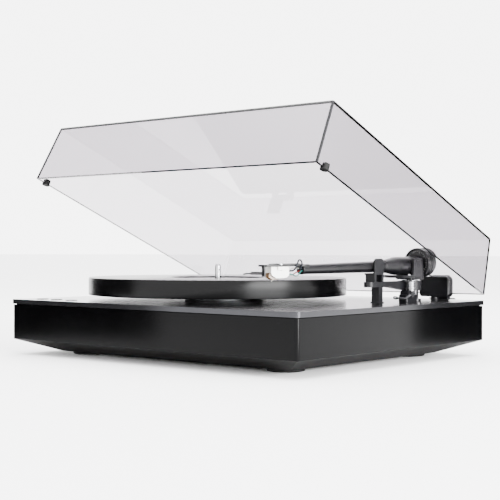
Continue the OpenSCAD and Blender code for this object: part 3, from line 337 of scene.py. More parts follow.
@dataclass
class Bench:
    """The frame's bodies and nodes, and the tools that make pieces on them."""

    frame: dict
    home: dict

    @classmethod
    def from_frame(cls, frame: dict) -> "Bench":
        """Makes the bench from the loaded frame, with the body that each node belongs to."""
        bodies = frame["record"]["behaviour"]["bodies"]
        return cls(frame, {node: body for body, nodes in bodies.items() for node in nodes})

    def joint(self, name: str) -> dict:
        """Finds a joint by its name."""
        return next(j for j in self.frame["record"]["behaviour"]["joints"] if j["name"] == name)

    def slot_of(self, node: str) -> str:
        """Finds the material slot that a node takes its finish from."""
        return next(s["material_slot"] for s in self.frame["record"]["subparts"] if s["node"] == node)

    def dress(self, node: str, finish: Finish) -> None:
        """Gives a node that stays as it is its finish.

        Args:
            node: the node's name.
            finish: its finish.
        """
        obj = self.frame["nodes"][node]
        obj.data.materials.clear()
        obj.data.materials.append(finish.material())

    def copy_of(self, node: str) -> MeshWork:
        """Copies a node's shape without doubled corners and needless edges.

        Args:
            node: the node's name.

        Returns:
            The copy, as mesh work in one material.
        """
        work = bmesh.new()
        work.from_mesh(self.frame["nodes"][node].data)
        bmesh.ops.remove_doubles(work, verts=work.verts, dist=1e-6)
        bmesh.ops.dissolve_limit(work, angle_limit=FLAT_ANGLE, verts=work.verts, edges=work.edges)
        for face in work.faces:
            face.material_index = 0
        return work

    def finished(self, node: str, finish: Finish, edge: float, steps: int = 2) -> Piece:
        """Stands a copy with softened edges in a node's place.

        Args:
            node: the node that the copy stands for.
            finish: the copy's finish.
            edge: the width of its edge bevels, in metres.
            steps: the number of faces across a bevel.

        Returns:
            The copy.
        """
        obj = new_object(f"{node}_finished", self.copy_of(node), finish, BEVEL_ANGLE)
        bevel = obj.modifiers.new("softened_edges", "BEVEL")
        bevel.width = edge
        bevel.segments = steps
        bevel.limit_method = "ANGLE"
        bevel.angle_limit = BEVEL_ANGLE
        bevel.use_clamp_overlap = True
        bevel.harden_normals = True
        body, slot = self.home[node], self.slot_of(node)
        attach(obj, body)
        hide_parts(node)
        return obj

    def piece(self, name: str, work: MeshWork, finish: Finish | SmokedAcrylic, body: str, slot: str,
              at: Matrix | None = None, stands_for: tuple[str, ...] = ()) -> Piece:
        """Turns finished mesh work into a piece on a body.

        Args:
            name: the piece's name.
            work: its mesh work, which is used up.
            finish: its finish.
            body: the body that it rides on.
            slot: not used.
            at: where the work's own frame stands, if not at the origin.
            stands_for: nodes that the piece replaces.

        Returns:
            The piece.
        """
        if at is not None:
            bmesh.ops.transform(work, matrix=at, verts=work.verts)
        bmesh.ops.recalc_face_normals(work, faces=work.faces)
        obj = new_object(name, work, finish, SHARP_ANGLE)
        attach(obj, body)
        if stands_for:
            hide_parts(*stands_for)
        return obj


def extent(work: MeshWork) -> tuple[Vector, Vector]:
    """Finds the low and the high corner of the box round mesh work."""
    rows = list(zip(*(v.co for v in work.verts)))
    return Vector([min(row) for row in rows]), Vector([max(row) for row in rows])


def turned(profile: Profile, steps: int = 96, ripple: float = 0.0, teeth: int = 0) -> MeshWork:
    """Turns a closed outline about the z axis.

    Args:
        profile: the outline's corners, as radius and height, in order round it.
        steps: the number of steps round the axis.
        ripple: the depth of the knurl cut into the outermost radius.
        teeth: the number of knurls; the steps are a multiple of it.

    Returns:
        The mesh work.
    """
    work = bmesh.new()
    widest = max(r for r, _ in profile)
    rings = []
    for i in range(steps):
        turn = 2 * math.pi * i / steps
        cut = ripple * (0.5 - 0.5 * math.cos(turn * teeth)) if teeth else 0.0
        ring = []
        for r, z in profile:
            used = r - cut if r > widest - 1e-4 else r
            ring.append(work.verts.new((used * math.cos(turn), used * math.sin(turn), z)))
        rings.append(ring)
    for i in range(steps):
        a, b = rings[i], rings[(i + 1) % steps]
        for k in range(len(profile)):
            m = (k + 1) % len(profile)
            work.faces.new((a[k], b[k], b[m], a[m]))
    bmesh.ops.remove_doubles(work, verts=work.verts, dist=1e-7)
    return work


def join_rings(work: MeshWork, rings: list[list[bmesh.types.BMVert]]) -> None:
    """Joins rings of corners in order and closes both ends.

    Args:
        work: the mesh work that the rings belong to.
        rings: the rings, all with the same number of corners.
    """
    for a, b in zip(rings, rings[1:]):
        for k in range(len(a)):
            m = (k + 1) % len(a)
            work.faces.new((a[k], a[m], b[m], b[k]))
    work.faces.new(list(reversed(rings[0])))
    work.faces.new(rings[-1])


def swept(points: list[Vector], radius: float, sides: int = 12) -> MeshWork:
    """Sweeps a round tube along points, with closed ends.

    Args:
        points: the tube's middle line.
        radius: its radius.
        sides: the number of faces round it.

    Returns:
        The mesh work.
    """
    work = bmesh.new()
    across = None
    rings = []
    for i, spot in enumerate(points):
        along = (points[min(i + 1, len(points) - 1)] - points[max(i - 1, 0)]).normalized()
        if across is None:
            across = along.orthogonal().normalized()
        across = (across - along * across.dot(along)).normalized()
        up = along.cross(across)
        ring = []
        for k in range(sides):
            turn = 2 * math.pi * k / sides
            ring.append(work.verts.new(spot + radius * (math.cos(turn) * across + math.sin(turn) * up)))
        rings.append(ring)
    join_rings(work, rings)
    return work


def smooth_line(knots: list[Vector], steps: int) -> list[Vector]:
    """Runs a smooth line through knots.

    Args:
        knots: the points that it passes.
        steps: the number of steps between two knots.

    Returns:
        The line's points.
    """
    line = []
    for i in range(len(knots) - 1):
        a, b, c, d = (knots[max(i - 1, 0)], knots[i], knots[i + 1], knots[min(i + 2, len(knots) - 1)])
        for k in range(steps):
            t = k / steps
            line.append(0.5 * (2 * b + (c - a) * t + (2 * a - 5 * b + 4 * c - d) * t * t
                               + (3 * b - a - 3 * c + d) * t * t * t))
    line.append(knots[-1])
    return line


def socket_screw(radius: float, height: float, sunk: float) -> MeshWork:
    """Makes a cap screw's head with a hexagonal socket, standing on z = 0.

    Args:
        radius: the head's radius.
        height: its height.
        sunk: the socket's depth.

    Returns:
        The mesh work.
    """
    work = bmesh.new()
    steps = 36
    rings = []
    key = 0.48 * radius
    for r, z in ((radius, 0.0), (radius, height - 0.16 * radius), (radius * 0.88, height), (None, height),
                 (None, height - sunk)):
        ring = []
        for i in range(steps):
            turn = 2 * math.pi * i / steps
            used = r
            if used is None:
                used = key / math.cos((turn + math.pi / 6) % (math.pi / 3) - math.pi / 6)
            ring.append(work.verts.new((used * math.cos(turn), used * math.sin(turn), z)))
        rings.append(ring)
    join_rings(work, rings)
    return work


@dataclass
class Studio:
    """The pale floor, the soft light and the camera."""

    lens: float = 81.61
    azimuth: float = 40.15
    elevation: float = -0.07
    roll: float = 0.17
    stand: tuple[float, float, float] = (0.9176, -1.0274, 0.03135)
    floor_half: float = 30.0
    floor_gap: float = 0.0002
    room_light: float = 6.4
    flag_reach: float = 0.46
    flag_height: float = 0.19
    flag_lift: float = 0.001

    def build(self) -> None:
        """Makes the whole studio."""
        self.make_floor()
        self.make_surround()
        self.make_lamps()
        self.make_flag("left_flag", 183.0, 247.0)
        self.make_flag("right_flag", 33.0, 75.0)
        self.make_camera()

    def make_floor(self) -> None:
        """Lays the floor under the feet."""
        low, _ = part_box("foot_pads")
        work = bmesh.new()
        bmesh.ops.create_grid(work, x_segments=8, y_segments=8, size=self.floor_half)
        floor = new_object("floor", work, PAPER)
        floor.location.z = low.z - self.floor_gap

    def make_surround(self) -> None:
        """Makes the pale room, dark towards the front left and the back right, and white to the camera."""
        world = bpy.data.worlds.new("studio_room")
        bpy.context.scene.world = world
        world.use_nodes = True
        tree = world.node_tree
        back = tree.nodes["Background"]
        place = add_node(tree, "TexCoord", {}).outputs["Generated"]
        parts = add_node(tree, "SeparateXYZ", {"Vector": place}).outputs
        turn = add_node(tree, "Math", {0: parts["Y"], 1: parts["X"]}, operation="ARCTAN2").outputs["Value"]
        share = add_node(tree, "MapRange", {"Value": turn, "From Min": -math.pi, "From Max": math.pi})
        ramp = add_node(tree, "ValToRGB", {"Fac": share.outputs["Result"]})
        ramp.color_ramp.interpolation = "EASE"
        spots = ((0.0, 0.5), (0.02, 0.15), (0.045, 0.002), (0.125, 0.002), (0.158, 0.7), (0.20, 1.0),
                 (0.48, 1.0), (0.60, 1.0), (0.64, 0.9), (0.665, 0.01), (0.745, 0.01), (0.79, 1.0),
                 (0.97, 1.0), (1.0, 0.5))
        steps = ramp.color_ramp.elements
        while len(steps) < len(spots):
            steps.new(0.5)
        for step, (where, level) in zip(steps, spots):
            step.position = where
            step.color = (level, level, level, 1.0)
        height = add_node(tree, "MapRange", {"Value": parts["Z"], "From Min": 0.5, "From Max": 0.85})
        ceiling = (0.95, 0.95, 0.96, 1.0)
        room = add_node(tree, "Mix", {}, data_type="RGBA")
        seen = add_node(tree, "LightPath", {}).outputs["Is Camera Ray"]
        clean = add_node(tree, "Mix", {}, data_type="RGBA")
        for mix, share, low, high in ((room, height.outputs["Result"], ramp.outputs["Color"], ceiling),
                                      (clean, seen, room.outputs[2], (1.0, 1.0, 1.0, 1.0))):
            tree.links.new(share, mix.inputs[0])
            tree.links.new(low, mix.inputs[6])
            mix.inputs[7].default_value = high
        tree.links.new(clean.outputs[2], back.inputs["Color"])
        back.inputs["Strength"].default_value = self.room_light

    def make_lamps(self) -> None:
        """Hangs the soft boxes, each turned to the object, with their width, height and watts."""
        for name, at, wide, tall, power in (("overhead", (0.1, 0.2, 1.9), 2.4, 2.0, 66.0),
                                            ("right_side", (2.9, -0.30, 0.50), 1.9, 1.2, 380.0)):
            data = bpy.data.lights.new(name, "AREA")
            data.shape = "RECTANGLE"
            data.size = wide
            data.size_y = tall
            data.energy = power
            obj = bpy.data.objects.new(name, data)
            obj.location = at
            obj.rotation_euler = (-Vector(at)).to_track_quat("-Z", "Y").to_euler()
            obj.visible_camera = False
            bpy.context.scene.collection.objects.link(obj)

    def make_flag(self, name: str, start: float, end: float) -> None:
        """Stands a black card that only glossy surfaces see, to keep the floor's shine off a dark face.

        Args:
            name: its name.
            start: the direction of its first edge, in degrees from the x axis.
            end: the direction of its last edge.
        """
        low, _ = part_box("foot_pads")
        work = bmesh.new()
        steps = 24
        pairs = []
        for i in range(steps + 1):
            turn = math.radians(start + (end - start) * i / steps)
            x, y = self.flag_reach * math.cos(turn), self.flag_reach * math.sin(turn)
            rises = (self.flag_lift, self.flag_height)
            pairs.append([work.verts.new((x, y, low.z + rise)) for rise in rises])
        for (a, b), (c, d) in zip(pairs, pairs[1:]):
            work.faces.new((a, c, d, b))
        flag = new_object(name, work, POWDER)
        for kind in ("camera", "diffuse", "transmission", "shadow", "volume_scatter"):
            setattr(flag, f"visible_{kind}", False)

    def make_camera(self) -> None:
        """Sets up the camera."""
        az, el, roll = (math.radians(a) for a in (self.azimuth, self.elevation, self.roll))
        back = Vector((math.sin(az) * math.cos(el), -math.cos(az) * math.cos(el), math.sin(el)))
        level = Vector((math.cos(az), math.sin(az), 0.0))
        up = back.cross(level)
        right = (level * math.cos(roll) + up * math.sin(roll)).normalized()
        up = back.cross(right).normalized()
        data = bpy.data.cameras.new("camera")
        data.lens = self.lens
        data.sensor_width = 36.0
        data.clip_start = 0.05
        data.clip_end = 200.0
        camera = bpy.data.objects.new("camera", data)
        turn = Matrix((right, up, back)).transposed().to_4x4()
        camera.matrix_world = Matrix.Translation(self.stand) @ turn
        bpy.context.scene.collection.objects.link(camera)
        bpy.context.scene.camera = camera


@dataclass
class Plinth:
    """The body with its metal plate, bottom cover, feet and what is sealed inside."""

    bench: Bench
    body_edge: float = 0.0006
    plate_edge: float = 0.0007
    under_slope: float = -0.2

    def build(self) -> list[Piece]:
        """Builds and dresses every piece of the plinth.

        Returns:
            The new pieces.
        """
        b = self.bench
        made = [
            self.make_body(),
            b.finished("top_plate", ANODISED, self.plate_edge, 3),
            b.finished("base_cover", POWDER, 0.0003),
            b.finished("foot_pads", RUBBER, 0.0008, 3),
            b.finished("base_screws", BLACKENED, 0.0002),
            b.finished("motor_base", CASTING, 0.0004),
            b.finished("stator_core", LAMINATE, 0.0001, 1),
            b.finished("main_board", BOARD_GREEN, 0.0002, 1),
            b.finished("wireless_board", BOARD_BLUE, 0.0002, 1),
            b.finished("button_board", BOARD_GREEN, 0.0002, 1),
        ]
        for node, finish in (("bearing_housing", BRIGHT), ("bearing_bushes", BRONZE), ("thrust_ball", STEEL),
                             ("stator_coils", COPPER)):
            b.dress(node, finish)
        return made

    def make_body(self) -> Piece:
        """Finishes the body, with a matt skin on the faces that slope inwards below.

        Returns:
            The body.
        """
        body = self.bench.finished("plinth_body", LACQUER, self.body_edge, 3)
        body.data.materials.append(UNDERSIDE.material())
        for face in body.data.polygons:
            if face.normal.z < self.under_slope:
                face.material_index = 1
        return body


@dataclass
class PlatterSet:
    """The platter, the spindle and the rotor under them."""

    bench: Bench
    rim_round: float = 0.0012
    steps: int = 240

    def build(self) -> list[Piece]:
        """Builds the platter and its spindle.

        Returns:
            The new pieces.
        """
        b = self.bench
        made = [self.make_platter(), self.make_spindle(), b.finished("platter_hub", CASTING, 0.0003)]
        b.dress("rotor_magnet", FERRITE)
        return made

    def make_platter(self) -> Piece:
        """Turns the platter, with its label recess and rounded rims.

        Returns:
            The platter.
        """
        low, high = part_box("platter")
        rim = high.x
        label = 0.057
        sunk = 0.0016
        bore = 0.00502
        r = self.rim_round
        top, bottom = high.z, low.z
        profile = [(bore, bottom), (0.068, bottom), (0.068, bottom + 0.006), (rim - 0.012, bottom + 0.006),
                   (rim - 0.012, bottom), (rim - 0.0008, bottom), (rim - 0.0002, bottom + 0.0003),
                   (rim, bottom + 0.001)]
        profile += [(rim - r + r * math.cos(a), top - r + r * math.sin(a))
                    for a in (math.radians(d) for d in (0, 22, 45, 68, 90))]
        profile += [(label + 0.0006, top), (label + 0.0001, top - 0.0004), (label, top - sunk + 0.0002),
                    (label - 0.0003, top - sunk), (bore, top - sunk)]
        return self.bench.piece("platter_disc", turned(profile, self.steps), ACETAL, "platter",
                                "platter_black", stands_for=("platter",))

    def make_spindle(self) -> Piece:
        """Turns the spindle, with its bullet-shaped tip and shaft.

        Returns:
            The spindle.
        """
        low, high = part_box("spindle")
        thin, shaft = 0.00355, 0.005
        tip = high.z
        profile = [(0.0, low.z), (shaft - 0.0005, low.z), (shaft, low.z + 0.0005), (shaft, -0.0017),
                   (shaft - 0.0001, -0.0016), (thin, -0.0016), (thin, tip - 0.0034)]
        profile += [(thin * math.sqrt(max(1 - t ** 2.2, 0.0)), tip - 0.0034 + 0.0034 * t)
                    for t in (0.2, 0.4, 0.6, 0.75, 0.87, 0.95, 1.0)]
        return self.bench.piece("spindle_pin", turned(profile, 64), STEEL, "platter", "steel",
                                stands_for=("spindle",))


@dataclass
class Controls:
    """The push buttons and the small light in front of them."""

    bench: Bench

    def build(self) -> list[Piece]:
        """Builds the buttons, each with a ring cut in its cap.

        Returns:
            The new pieces.
        """
        made = [self.make_button(n) for n in ("power_button", "speed_33_button", "speed_45_button")]
        made.append(self.bench.finished("status_light", LENS, 0.0002))
        return made

    def make_button(self, node: str) -> Piece:
        """Turns one button.

        Args:
            node: the button's node.

        Returns:
            The button.
        """
        low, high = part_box(node)
        middle = (low + high) / 2
        flange = (high.x - low.x) / 2
        cap = flange - 0.0012
        top, seat = high.z, low.z + 0.0017
        profile = [(0.0, low.z), (0.0018, low.z), (0.002, low.z + 0.0002), (0.002, seat),
                   (flange - 0.0002, seat), (flange, seat + 0.0002), (flange, seat + 0.001),
                   (flange - 0.0002, seat + 0.0012), (cap, seat + 0.0012), (cap, top - 0.0004),
                   (cap - 0.0001, top - 0.00015), (cap - 0.0004, top), (cap - 0.0012, top),
                   (cap - 0.0014, top - 0.0002), (cap - 0.0018, top - 0.0002), (cap - 0.002, top), (0.0, top)]
        at = Matrix.Translation((middle.x, middle.y, 0.0))
        return self.bench.piece(f"{node}_cap", turned(profile, 72), BLACK_CAST, self.bench.home[node],
                                "button_black", at, (node,))


@dataclass
class RearPanel:
    """The sockets, switch and button at the back."""

    bench: Bench

    def build(self) -> list[Piece]:
        """Builds the panel with its sockets and its plain marks.

        Returns:
            The new pieces.
        """
        b = self.bench
        made = [
            b.finished("rear_panel", PANEL, 0.0002),
            b.finished("audio_sockets", GOLD, 0.0002),
            b.finished("ground_post", GOLD, 0.0003),
            b.finished("ground_nut", GOLD, 0.0001, 1),
            b.finished("dc_inlet", BLACK_CAST, 0.0002),
            b.finished("phono_switch", WHITE, 0.0003),
            b.finished("pairing_button", WHITE, 0.0003),
        ]
        made += self.make_inserts()
        made += self.make_collars()
        return made

    def make_inserts(self) -> list[Piece]:
        """Turns the two coloured socket inserts.

        Returns:
            The inserts.
        """
        low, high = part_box("socket_inserts")
        outer = (high.z - low.z) / 2
        hole = 0.00165
        height = (high.z + low.z) / 2
        made = []
        for side, x, finish in (("left", low.x + outer, WHITE), ("right", high.x - outer, RED)):
            far, near = low.y, high.y
            profile = [(0.0, -far), (outer, -far), (outer, -near + 0.0003), (outer - 0.0003, -near),
                       (hole + 0.0003, -near), (hole, -near + 0.0003), (hole, -near + 0.0084),
                       (0.0, -near + 0.0084)]
            at = Matrix.Translation((x, 0.0, height)) @ Matrix.Rotation(QUARTER_TURN, 4, "X")
            stands = ("socket_inserts",) if side == "left" else ()
            made.append(self.bench.piece(f"socket_insert_{side}", turned(profile, 48), finish, "plinth",
                                         "socket_white", at, stands))
        return made

    def make_collars(self) -> list[Piece]:
        """Lays a thin coloured ring round each audio socket.

        Returns:
            The rings.
        """
        low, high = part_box("audio_sockets")
        _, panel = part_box("rear_panel")
        flange = (high.z - low.z) / 2
        height = (high.z + low.z) / 2
        made = []
        for side, x, finish in (("left", low.x + flange, WHITE_MARK), ("right", high.x - flange, RED)):
            face = -panel.y
            profile = [(flange + 0.0003, face + 0.0001), (flange + 0.0013, face + 0.0001),
                       (flange + 0.0013, face - 0.00015), (flange + 0.0003, face - 0.00015)]
            at = Matrix.Translation((x, 0.0, height)) @ Matrix.Rotation(QUARTER_TURN, 4, "X")
            made.append(self.bench.piece(f"socket_ring_{side}", turned(profile, 64), finish, "plinth",
                                         "panel_black", at))
        return made


@dataclass
class DustCover:
    """The clear cover, its bumpers, clips and hinges."""

    bench: Bench
    wall: SmokedAcrylic = SmokedAcrylic("smoked_acrylic", (0.08, 0.0, 0.09), 120.0)
    edge_width: float = 0.0021
    rim_width: float = 0.0007
    far_strip: float = 0.03
    rim_strip: float = 0.002
    shortest_edge: float = 0.03
    slack: float = 0.0003

    def build(self) -> list[Piece]:
        """Builds the cover and its fittings.

        Returns:
            The new pieces.
        """
        b = self.bench
        made = [self.make_cover()]
        made += [
            b.finished("lid_bumpers", RUBBER, 0.0004),
            b.finished("lid_clips", BLACK_CAST, 0.0005),
            b.finished("hinge_brackets", BLACK_CAST, 0.0005),
            b.finished("hinge_pins", STEEL, 0.0003),
            b.finished("hinge_screws", BLACKENED, 0.0002),
        ]
        return made

    def make_cover(self) -> Piece:
        """Makes the cover, with painted shade: dark strips on the rim and on the edges in front and at the
        right stand in for the darkening that light gives the acrylic's edges.

        Returns:
            The cover.
        """
        hinge = self.bench.joint("lid_hinge")
        shut = Matrix.Rotation(math.radians(-hinge["range_deg"][0]), 4, "X")
        at_hinge = Matrix.Translation(hinge["pos_m"])
        to_shut = at_hinge @ shut @ at_hinge.inverted()
        work = self.bench.copy_of("lid_cover")
        bmesh.ops.transform(work, matrix=to_shut, verts=work.verts)
        outer = self.outer_edges(work)
        # the outer edge bevels take material 1, the painted edge shade
        bmesh.ops.bevel(work, geom=outer, offset=self.edge_width, segments=2, profile=0.5, affect="EDGES",
                        material=1, clamp_overlap=True)
        low, _ = extent(work)
        rim = [e for e in work.edges if max(v.co.z for v in e.verts) < low.z + self.slack / 3]
        # the rim bevel also takes material 1, the painted edge shade
        bmesh.ops.bevel(work, geom=rim, offset=self.rim_width, segments=1, profile=0.5, affect="EDGES",
                        material=1, clamp_overlap=True)
        self.clear_far_edge_shade(work)
        obj = self.bench.piece("lid_cover_moulding", work, self.wall, "lid", "smoked_clear",
                               to_shut.inverted(), ("lid_cover",))
        # material 1 is the painted edge shade on the front, right and rim bevels
        obj.data.materials.append(EDGE_SHADE.material())
        obj.data.polygons.foreach_set("use_smooth", [False] * len(obj.data.polygons))
        return obj

    def outer_edges(self, work: MeshWork) -> list[bmesh.types.BMEdge]:
        """Finds the long outer edges above the rim.

        Args:
            work: the cover's mesh work, shut.

        Returns:
            The edges round the top and down the corners.
        """
        low, high = extent(work)
        found = []
        for edge in work.edges:
            if len(edge.link_faces) != 2 or edge.calc_face_angle() < BEVEL_ANGLE:
                continue
            if edge.calc_length() < self.shortest_edge:
                continue
            ends = [v.co.z for v in edge.verts]
            on_top = min(ends) > high.z - self.slack
            corner = min(ends) < low.z + self.slack and max(ends) > high.z - self.slack
            if on_top or corner:
                found.append(edge)
        return found

    def clear_far_edge_shade(self, work: MeshWork) -> None:
        """Keeps the painted edge shade off the bevels at the back and the left, which stay clear.

        Args:
            work: the cover's mesh work, shut.
        """
        low, high = extent(work)
        for face in work.faces:
            spot = face.calc_center_median()
            above = spot.z > low.z + self.rim_strip
            beside = spot.x < low.x + self.far_strip and spot.y > low.y + self.far_strip
            behind = spot.y > high.y - self.far_strip / 2 and spot.x < high.x - self.far_strip
            if face.material_index == 1 and above and (beside or behind):
                face.material_index = 0


@dataclass
class ArmPlace:
    """Where the parked arm and its head stand."""

    axle: Vector
    slope: float
    bend: float = 0.2118
    offset: float = math.radians(22.5)

    @classmethod
    def from_bench(cls, bench: Bench) -> "ArmPlace":
        """Reads the axle's place and the arm's slope from the bench's joints."""
        along = bench.joint("weight_slide")["axis"]
        return cls(Vector(bench.joint("arm_tilt")["pos_m"]), math.atan2(along[2], along[1]))

    def arm(self) -> Matrix:
        """Gives the arm's own frame: the axle is its origin and the tube runs along -y."""
        return Matrix.Translation(self.axle) @ Matrix.Rotation(self.slope, 4, "X")

    def head(self) -> Matrix:
        """Gives the head's own frame: the bend is its origin and the head runs along -y."""
        return self.arm() @ Matrix.Translation((0.0, -self.bend, 0.0)) @ Matrix.Rotation(-self.offset, 4, "Z")

    def along(self, start: float) -> Matrix:
        """Gives a frame on the arm's axis whose z runs towards the head, from a distance in front."""
        return self.arm() @ Matrix.Translation((0.0, -start, 0.0)) @ Matrix.Rotation(QUARTER_TURN, 4, "X")


@dataclass
class Tonearm:
    """The arm with its bearing, weight, head, cartridge and leads."""

    bench: Bench
    seat: ArmPlace
    stub_rise: float = 0.003

    def build(self) -> list[Piece]:
        """Builds every piece of the arm.

        Returns:
            The new pieces.
        """
        b = self.bench
        made = [
            b.finished("arm_pillar", BRIGHT, 0.0005, 3),
            b.finished("arm_nut", CASTING, 0.0003),
            b.finished("bearing_yoke", GREY_YOKE, 0.0004, 3),
            b.finished("tilt_axle", STEEL, 0.0002),
            b.finished("arm_tube", BLACK_ARM, 0.0004, 2),
            b.finished("rear_stub", BLACK_ARM, 0.0004),
            b.finished("headshell", BLACK_ARM, 0.00025, 2),
            b.finished("finger_lift", BLACK_ARM, 0.0002, 2),
            b.finished("cartridge_body", WHITE, 0.0004, 2),
            b.finished("stylus_holder", AMBER, 0.0004, 2),
            b.finished("stylus", CANTILEVER, 0.00004, 1),
        ]
        b.dress("swing_bearings", BRONZE)
        b.dress("swing_shaft", STEEL)
        made += self.make_collars()
        made += self.make_weight()
        made += self.make_head_screws()
        made += self.make_leads()
        made += self.make_cartridge_trim()
        return made

    def make_collars(self) -> list[Piece]:
        """Turns the collar at the tube's mouth and the caps over the axle's ends.

        Returns:
            The pieces.
        """
        b = self.bench
        made = []
        mouth = self.seat.along(self.seat.bend - 0.0032)
        ring = [(0.0049, -0.0001), (0.00525, 0.0001), (0.00532, 0.0004), (0.00532, 0.0022), (0.0051, 0.0026),
                (0.0049, 0.0027)]
        made.append(b.piece("tube_collar", turned(ring, 64), BLACK_ARM, "arm", "tube_black", mouth))
        low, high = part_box("bearing_yoke")
        for name, x, sign in (("left", low.x, -1), ("right", high.x, 1)):
            at = Matrix.Translation((x - sign * 0.0002, self.seat.axle.y, self.seat.axle.z))
            at = at @ Matrix.Rotation(QUARTER_TURN * sign, 4, "Y")
            cap = socket_screw(0.0031, 0.0003, 0.00025)
            made.append(b.piece(f"bearing_cap_{name}", cap, BLACKENED, "arm_yoke", "yoke_grey", at))
        return made

    def make_weight(self) -> list[Piece]:
        """Turns the counterweight and its dial with knurled rims and a bright line between.

        Returns:
            The pieces.
        """
        b = self.bench
        start, dial, gap, reach, full = 0.0142, 0.0057, 0.0007, 0.012, 0.0174
        bore = 0.00506
        sleeve = 0.0075
        back = self.seat.arm() @ Matrix.Translation((0.0, 0.0, self.stub_rise))
        back = back @ Matrix.Rotation(-QUARTER_TURN, 4, "X")
        w = start + dial + gap
        body = [(bore, w - dial - gap), (sleeve, w - dial - gap), (sleeve, w), (full - 0.0009, w),
                (full - 0.0003, w + 0.0003), (full - 0.0003, w + 0.0022), (full - 0.0007, w + 0.0026),
                (full - 0.0007, w + 0.0034), (full, w + 0.0038), (full, w + reach - 0.0016),
                (full - 0.0005, w + reach - 0.0006), (full - 0.0016, w + reach), (0.0092, w + reach),
                (0.0082, w + reach - 0.001), (bore, w + reach - 0.001)]
        made = [b.piece("counterweight_body", turned(body, 240, 0.00035, 60), BLACK_ARM, "counterweight",
                        "weight_black", back, ("counterweight",))]
        ring = [(full - 0.0011, w + 0.0001), (full - 0.0002, w + 0.0003), (full - 0.0002, w + 0.0007),
                (full - 0.0011, w + 0.0008)]
        made.append(b.piece("weight_bright_line", turned(ring, 120), BRIGHT, "counterweight", "lever_metal",
                            back))
        d0, d1 = start, start + dial
        hub = 0.00755
        disc = [(hub, d0 + 0.0002), (hub + 0.0002, d0), (full - 0.0072, d0), (full - 0.007, d0 + 0.0012),
                (full - 0.0026, d0 + 0.0012), (full - 0.0022, d0), (full - 0.0006, d0), (full, d0 + 0.0006),
                (full, d1 - 0.0006), (full - 0.0006, d1), (hub, d1)]
        made.append(b.piece("dial_disc", turned(disc, 240, 0.0004, 40), BLACK_ARM, "weight_dial",
                            "weight_black", back, ("weight_dial",)))
        made.append(self.make_dial_marks(back, d0, full))
        return made

    def make_dial_marks(self, back: Matrix, front: float, full: float) -> Piece:
        """Raises the pale marks in the dial's ring, long at whole steps and short between.

        Args:
            back: the frame whose z runs backwards along the stub.
            front: the dial's front face.
            full: the dial's radius.

        Returns:
            The marks.
        """
        work = bmesh.new()
        for i in range(30):
            long = i % 3 == 0
            r0 = full - (0.0060 if long else 0.0046)
            turn = Matrix.Rotation(math.radians(12 * i), 4, "Z")
            size = Vector((full - 0.0032 - r0, 0.00035, 0.0002))
            spot = Vector(((full - 0.0032 + r0) / 2, 0.0, front + 0.00112))
            at = turn @ Matrix.Translation(spot) @ Matrix.Diagonal((*size, 1))
            bmesh.ops.create_cube(work, size=1.0, matrix=at)
        return self.bench.piece("dial_marks", work, WHITE_MARK, "weight_dial", "weight_black", back)

    def make_head_screws(self) -> list[Piece]:
        """Makes the two cartridge screws, each a socket head on a shank.

        Returns:
            The screws.
        """
        made = []
        head = self.seat.head()
        for name, x in (("left", -0.00635), ("right", 0.00635)):
            at = head @ Matrix.Translation((x, -0.0265, 0.0056))
            work = socket_screw(0.0022, 0.0014, 0.0009)
            outline = [(0.0, -0.005), (0.00115, -0.005), (0.00125, -0.0048), (0.00125, 0.0), (0.0, 0.0)]
            shank = turned(outline, 24)
            joined = bpy.data.meshes.new("shank")
            shank.to_mesh(joined)
            shank.free()
            work.from_mesh(joined)
            bpy.data.meshes.remove(joined)
            stands = ("cartridge_screws",) if name == "left" else ()
            made.append(self.bench.piece(f"cartridge_screw_{name}", work, STEEL, "arm", "steel", at, stands))
        return made

    def make_leads(self) -> list[Piece]:
        """Runs the four signal leads from the cartridge's pins into the tube.

        Returns:
            The leads.
        """
        routes = (
            ((2.6, -11.8, -1), (3.4, -10.6, -0.8), (6.6, -9.4, 1.6), (7.6, -8, 6), (7.2, -5.6, 10),
             (7, -3, 9.4), (6.9, -1.8, 5.4), (5.2, -3.2, 1.4), (2.6, -2.6, 0.6), (1.6, 0.6, 0.9),
             (1.5, 4, 0.9)),
            ((-2.6, -11.8, -1), (-2.9, -10.4, -0.8), (-4.4, -8, 0.8), (-4.6, -5.4, 1.6), (-3, -2.4, 1.4),
             (-1.7, 0.6, 1.2), (-1.5, 4, 1.1)),
            ((-2.6, -11.8, -4.6), (-2.8, -10.4, -4.8), (-4, -8, -5.4), (-3.6, -5, -4), (-2.2, -2, -2.2),
             (-1.5, 0.6, -1.2), (-1.3, 4, -1)),
            ((2.6, -11.8, -4.6), (2.9, -10.4, -5), (4.8, -8, -6.4), (5, -5.2, -5.4), (3, -2.2, -2.8),
             (1.6, 0.6, -1.4), (1.3, 4, -1.1)),
        )
        made = []
        head = self.seat.head()
        for i, (route, finish, colour) in enumerate(zip(routes, LEADS, ("black", "white", "red", "green"))):
            line = smooth_line([Vector(p) / 1000 for p in route], 6)
            stands = ("cartridge_leads",) if i == 0 else ()
            thick = 0.00085 if i == 0 else 0.0006
            made.append(self.bench.piece(f"signal_lead_{colour}", swept(line, thick), finish, "arm",
                                         "lead_cover", head, stands))
        return made

    def make_cartridge_trim(self) -> list[Piece]:
        """Makes the four clips on the cartridge's pins.

        Returns:
            The clips.
        """
        made = []
        head = self.seat.head()
        places = ((2.6, -1.0), (-2.6, -1.0), (-2.6, -4.6), (2.6, -4.6))
        for (x, z), finish, colour in zip(places, LEADS, ("black", "white", "red", "green")):
            at = head @ Matrix.Translation((x / 1000, -0.0122, z / 1000))
            at = at @ Matrix.Rotation(QUARTER_TURN, 4, "X")
            clip = turned([(0.0, 0.0), (0.00075, 0.0), (0.00085, 0.0002), (0.00085, 0.0034),
                           (0.00065, 0.0038), (0.0, 0.0038)], 24)
            made.append(self.bench.piece(f"pin_clip_{colour}", clip, finish, "arm", "lead_cover", at))
        return made


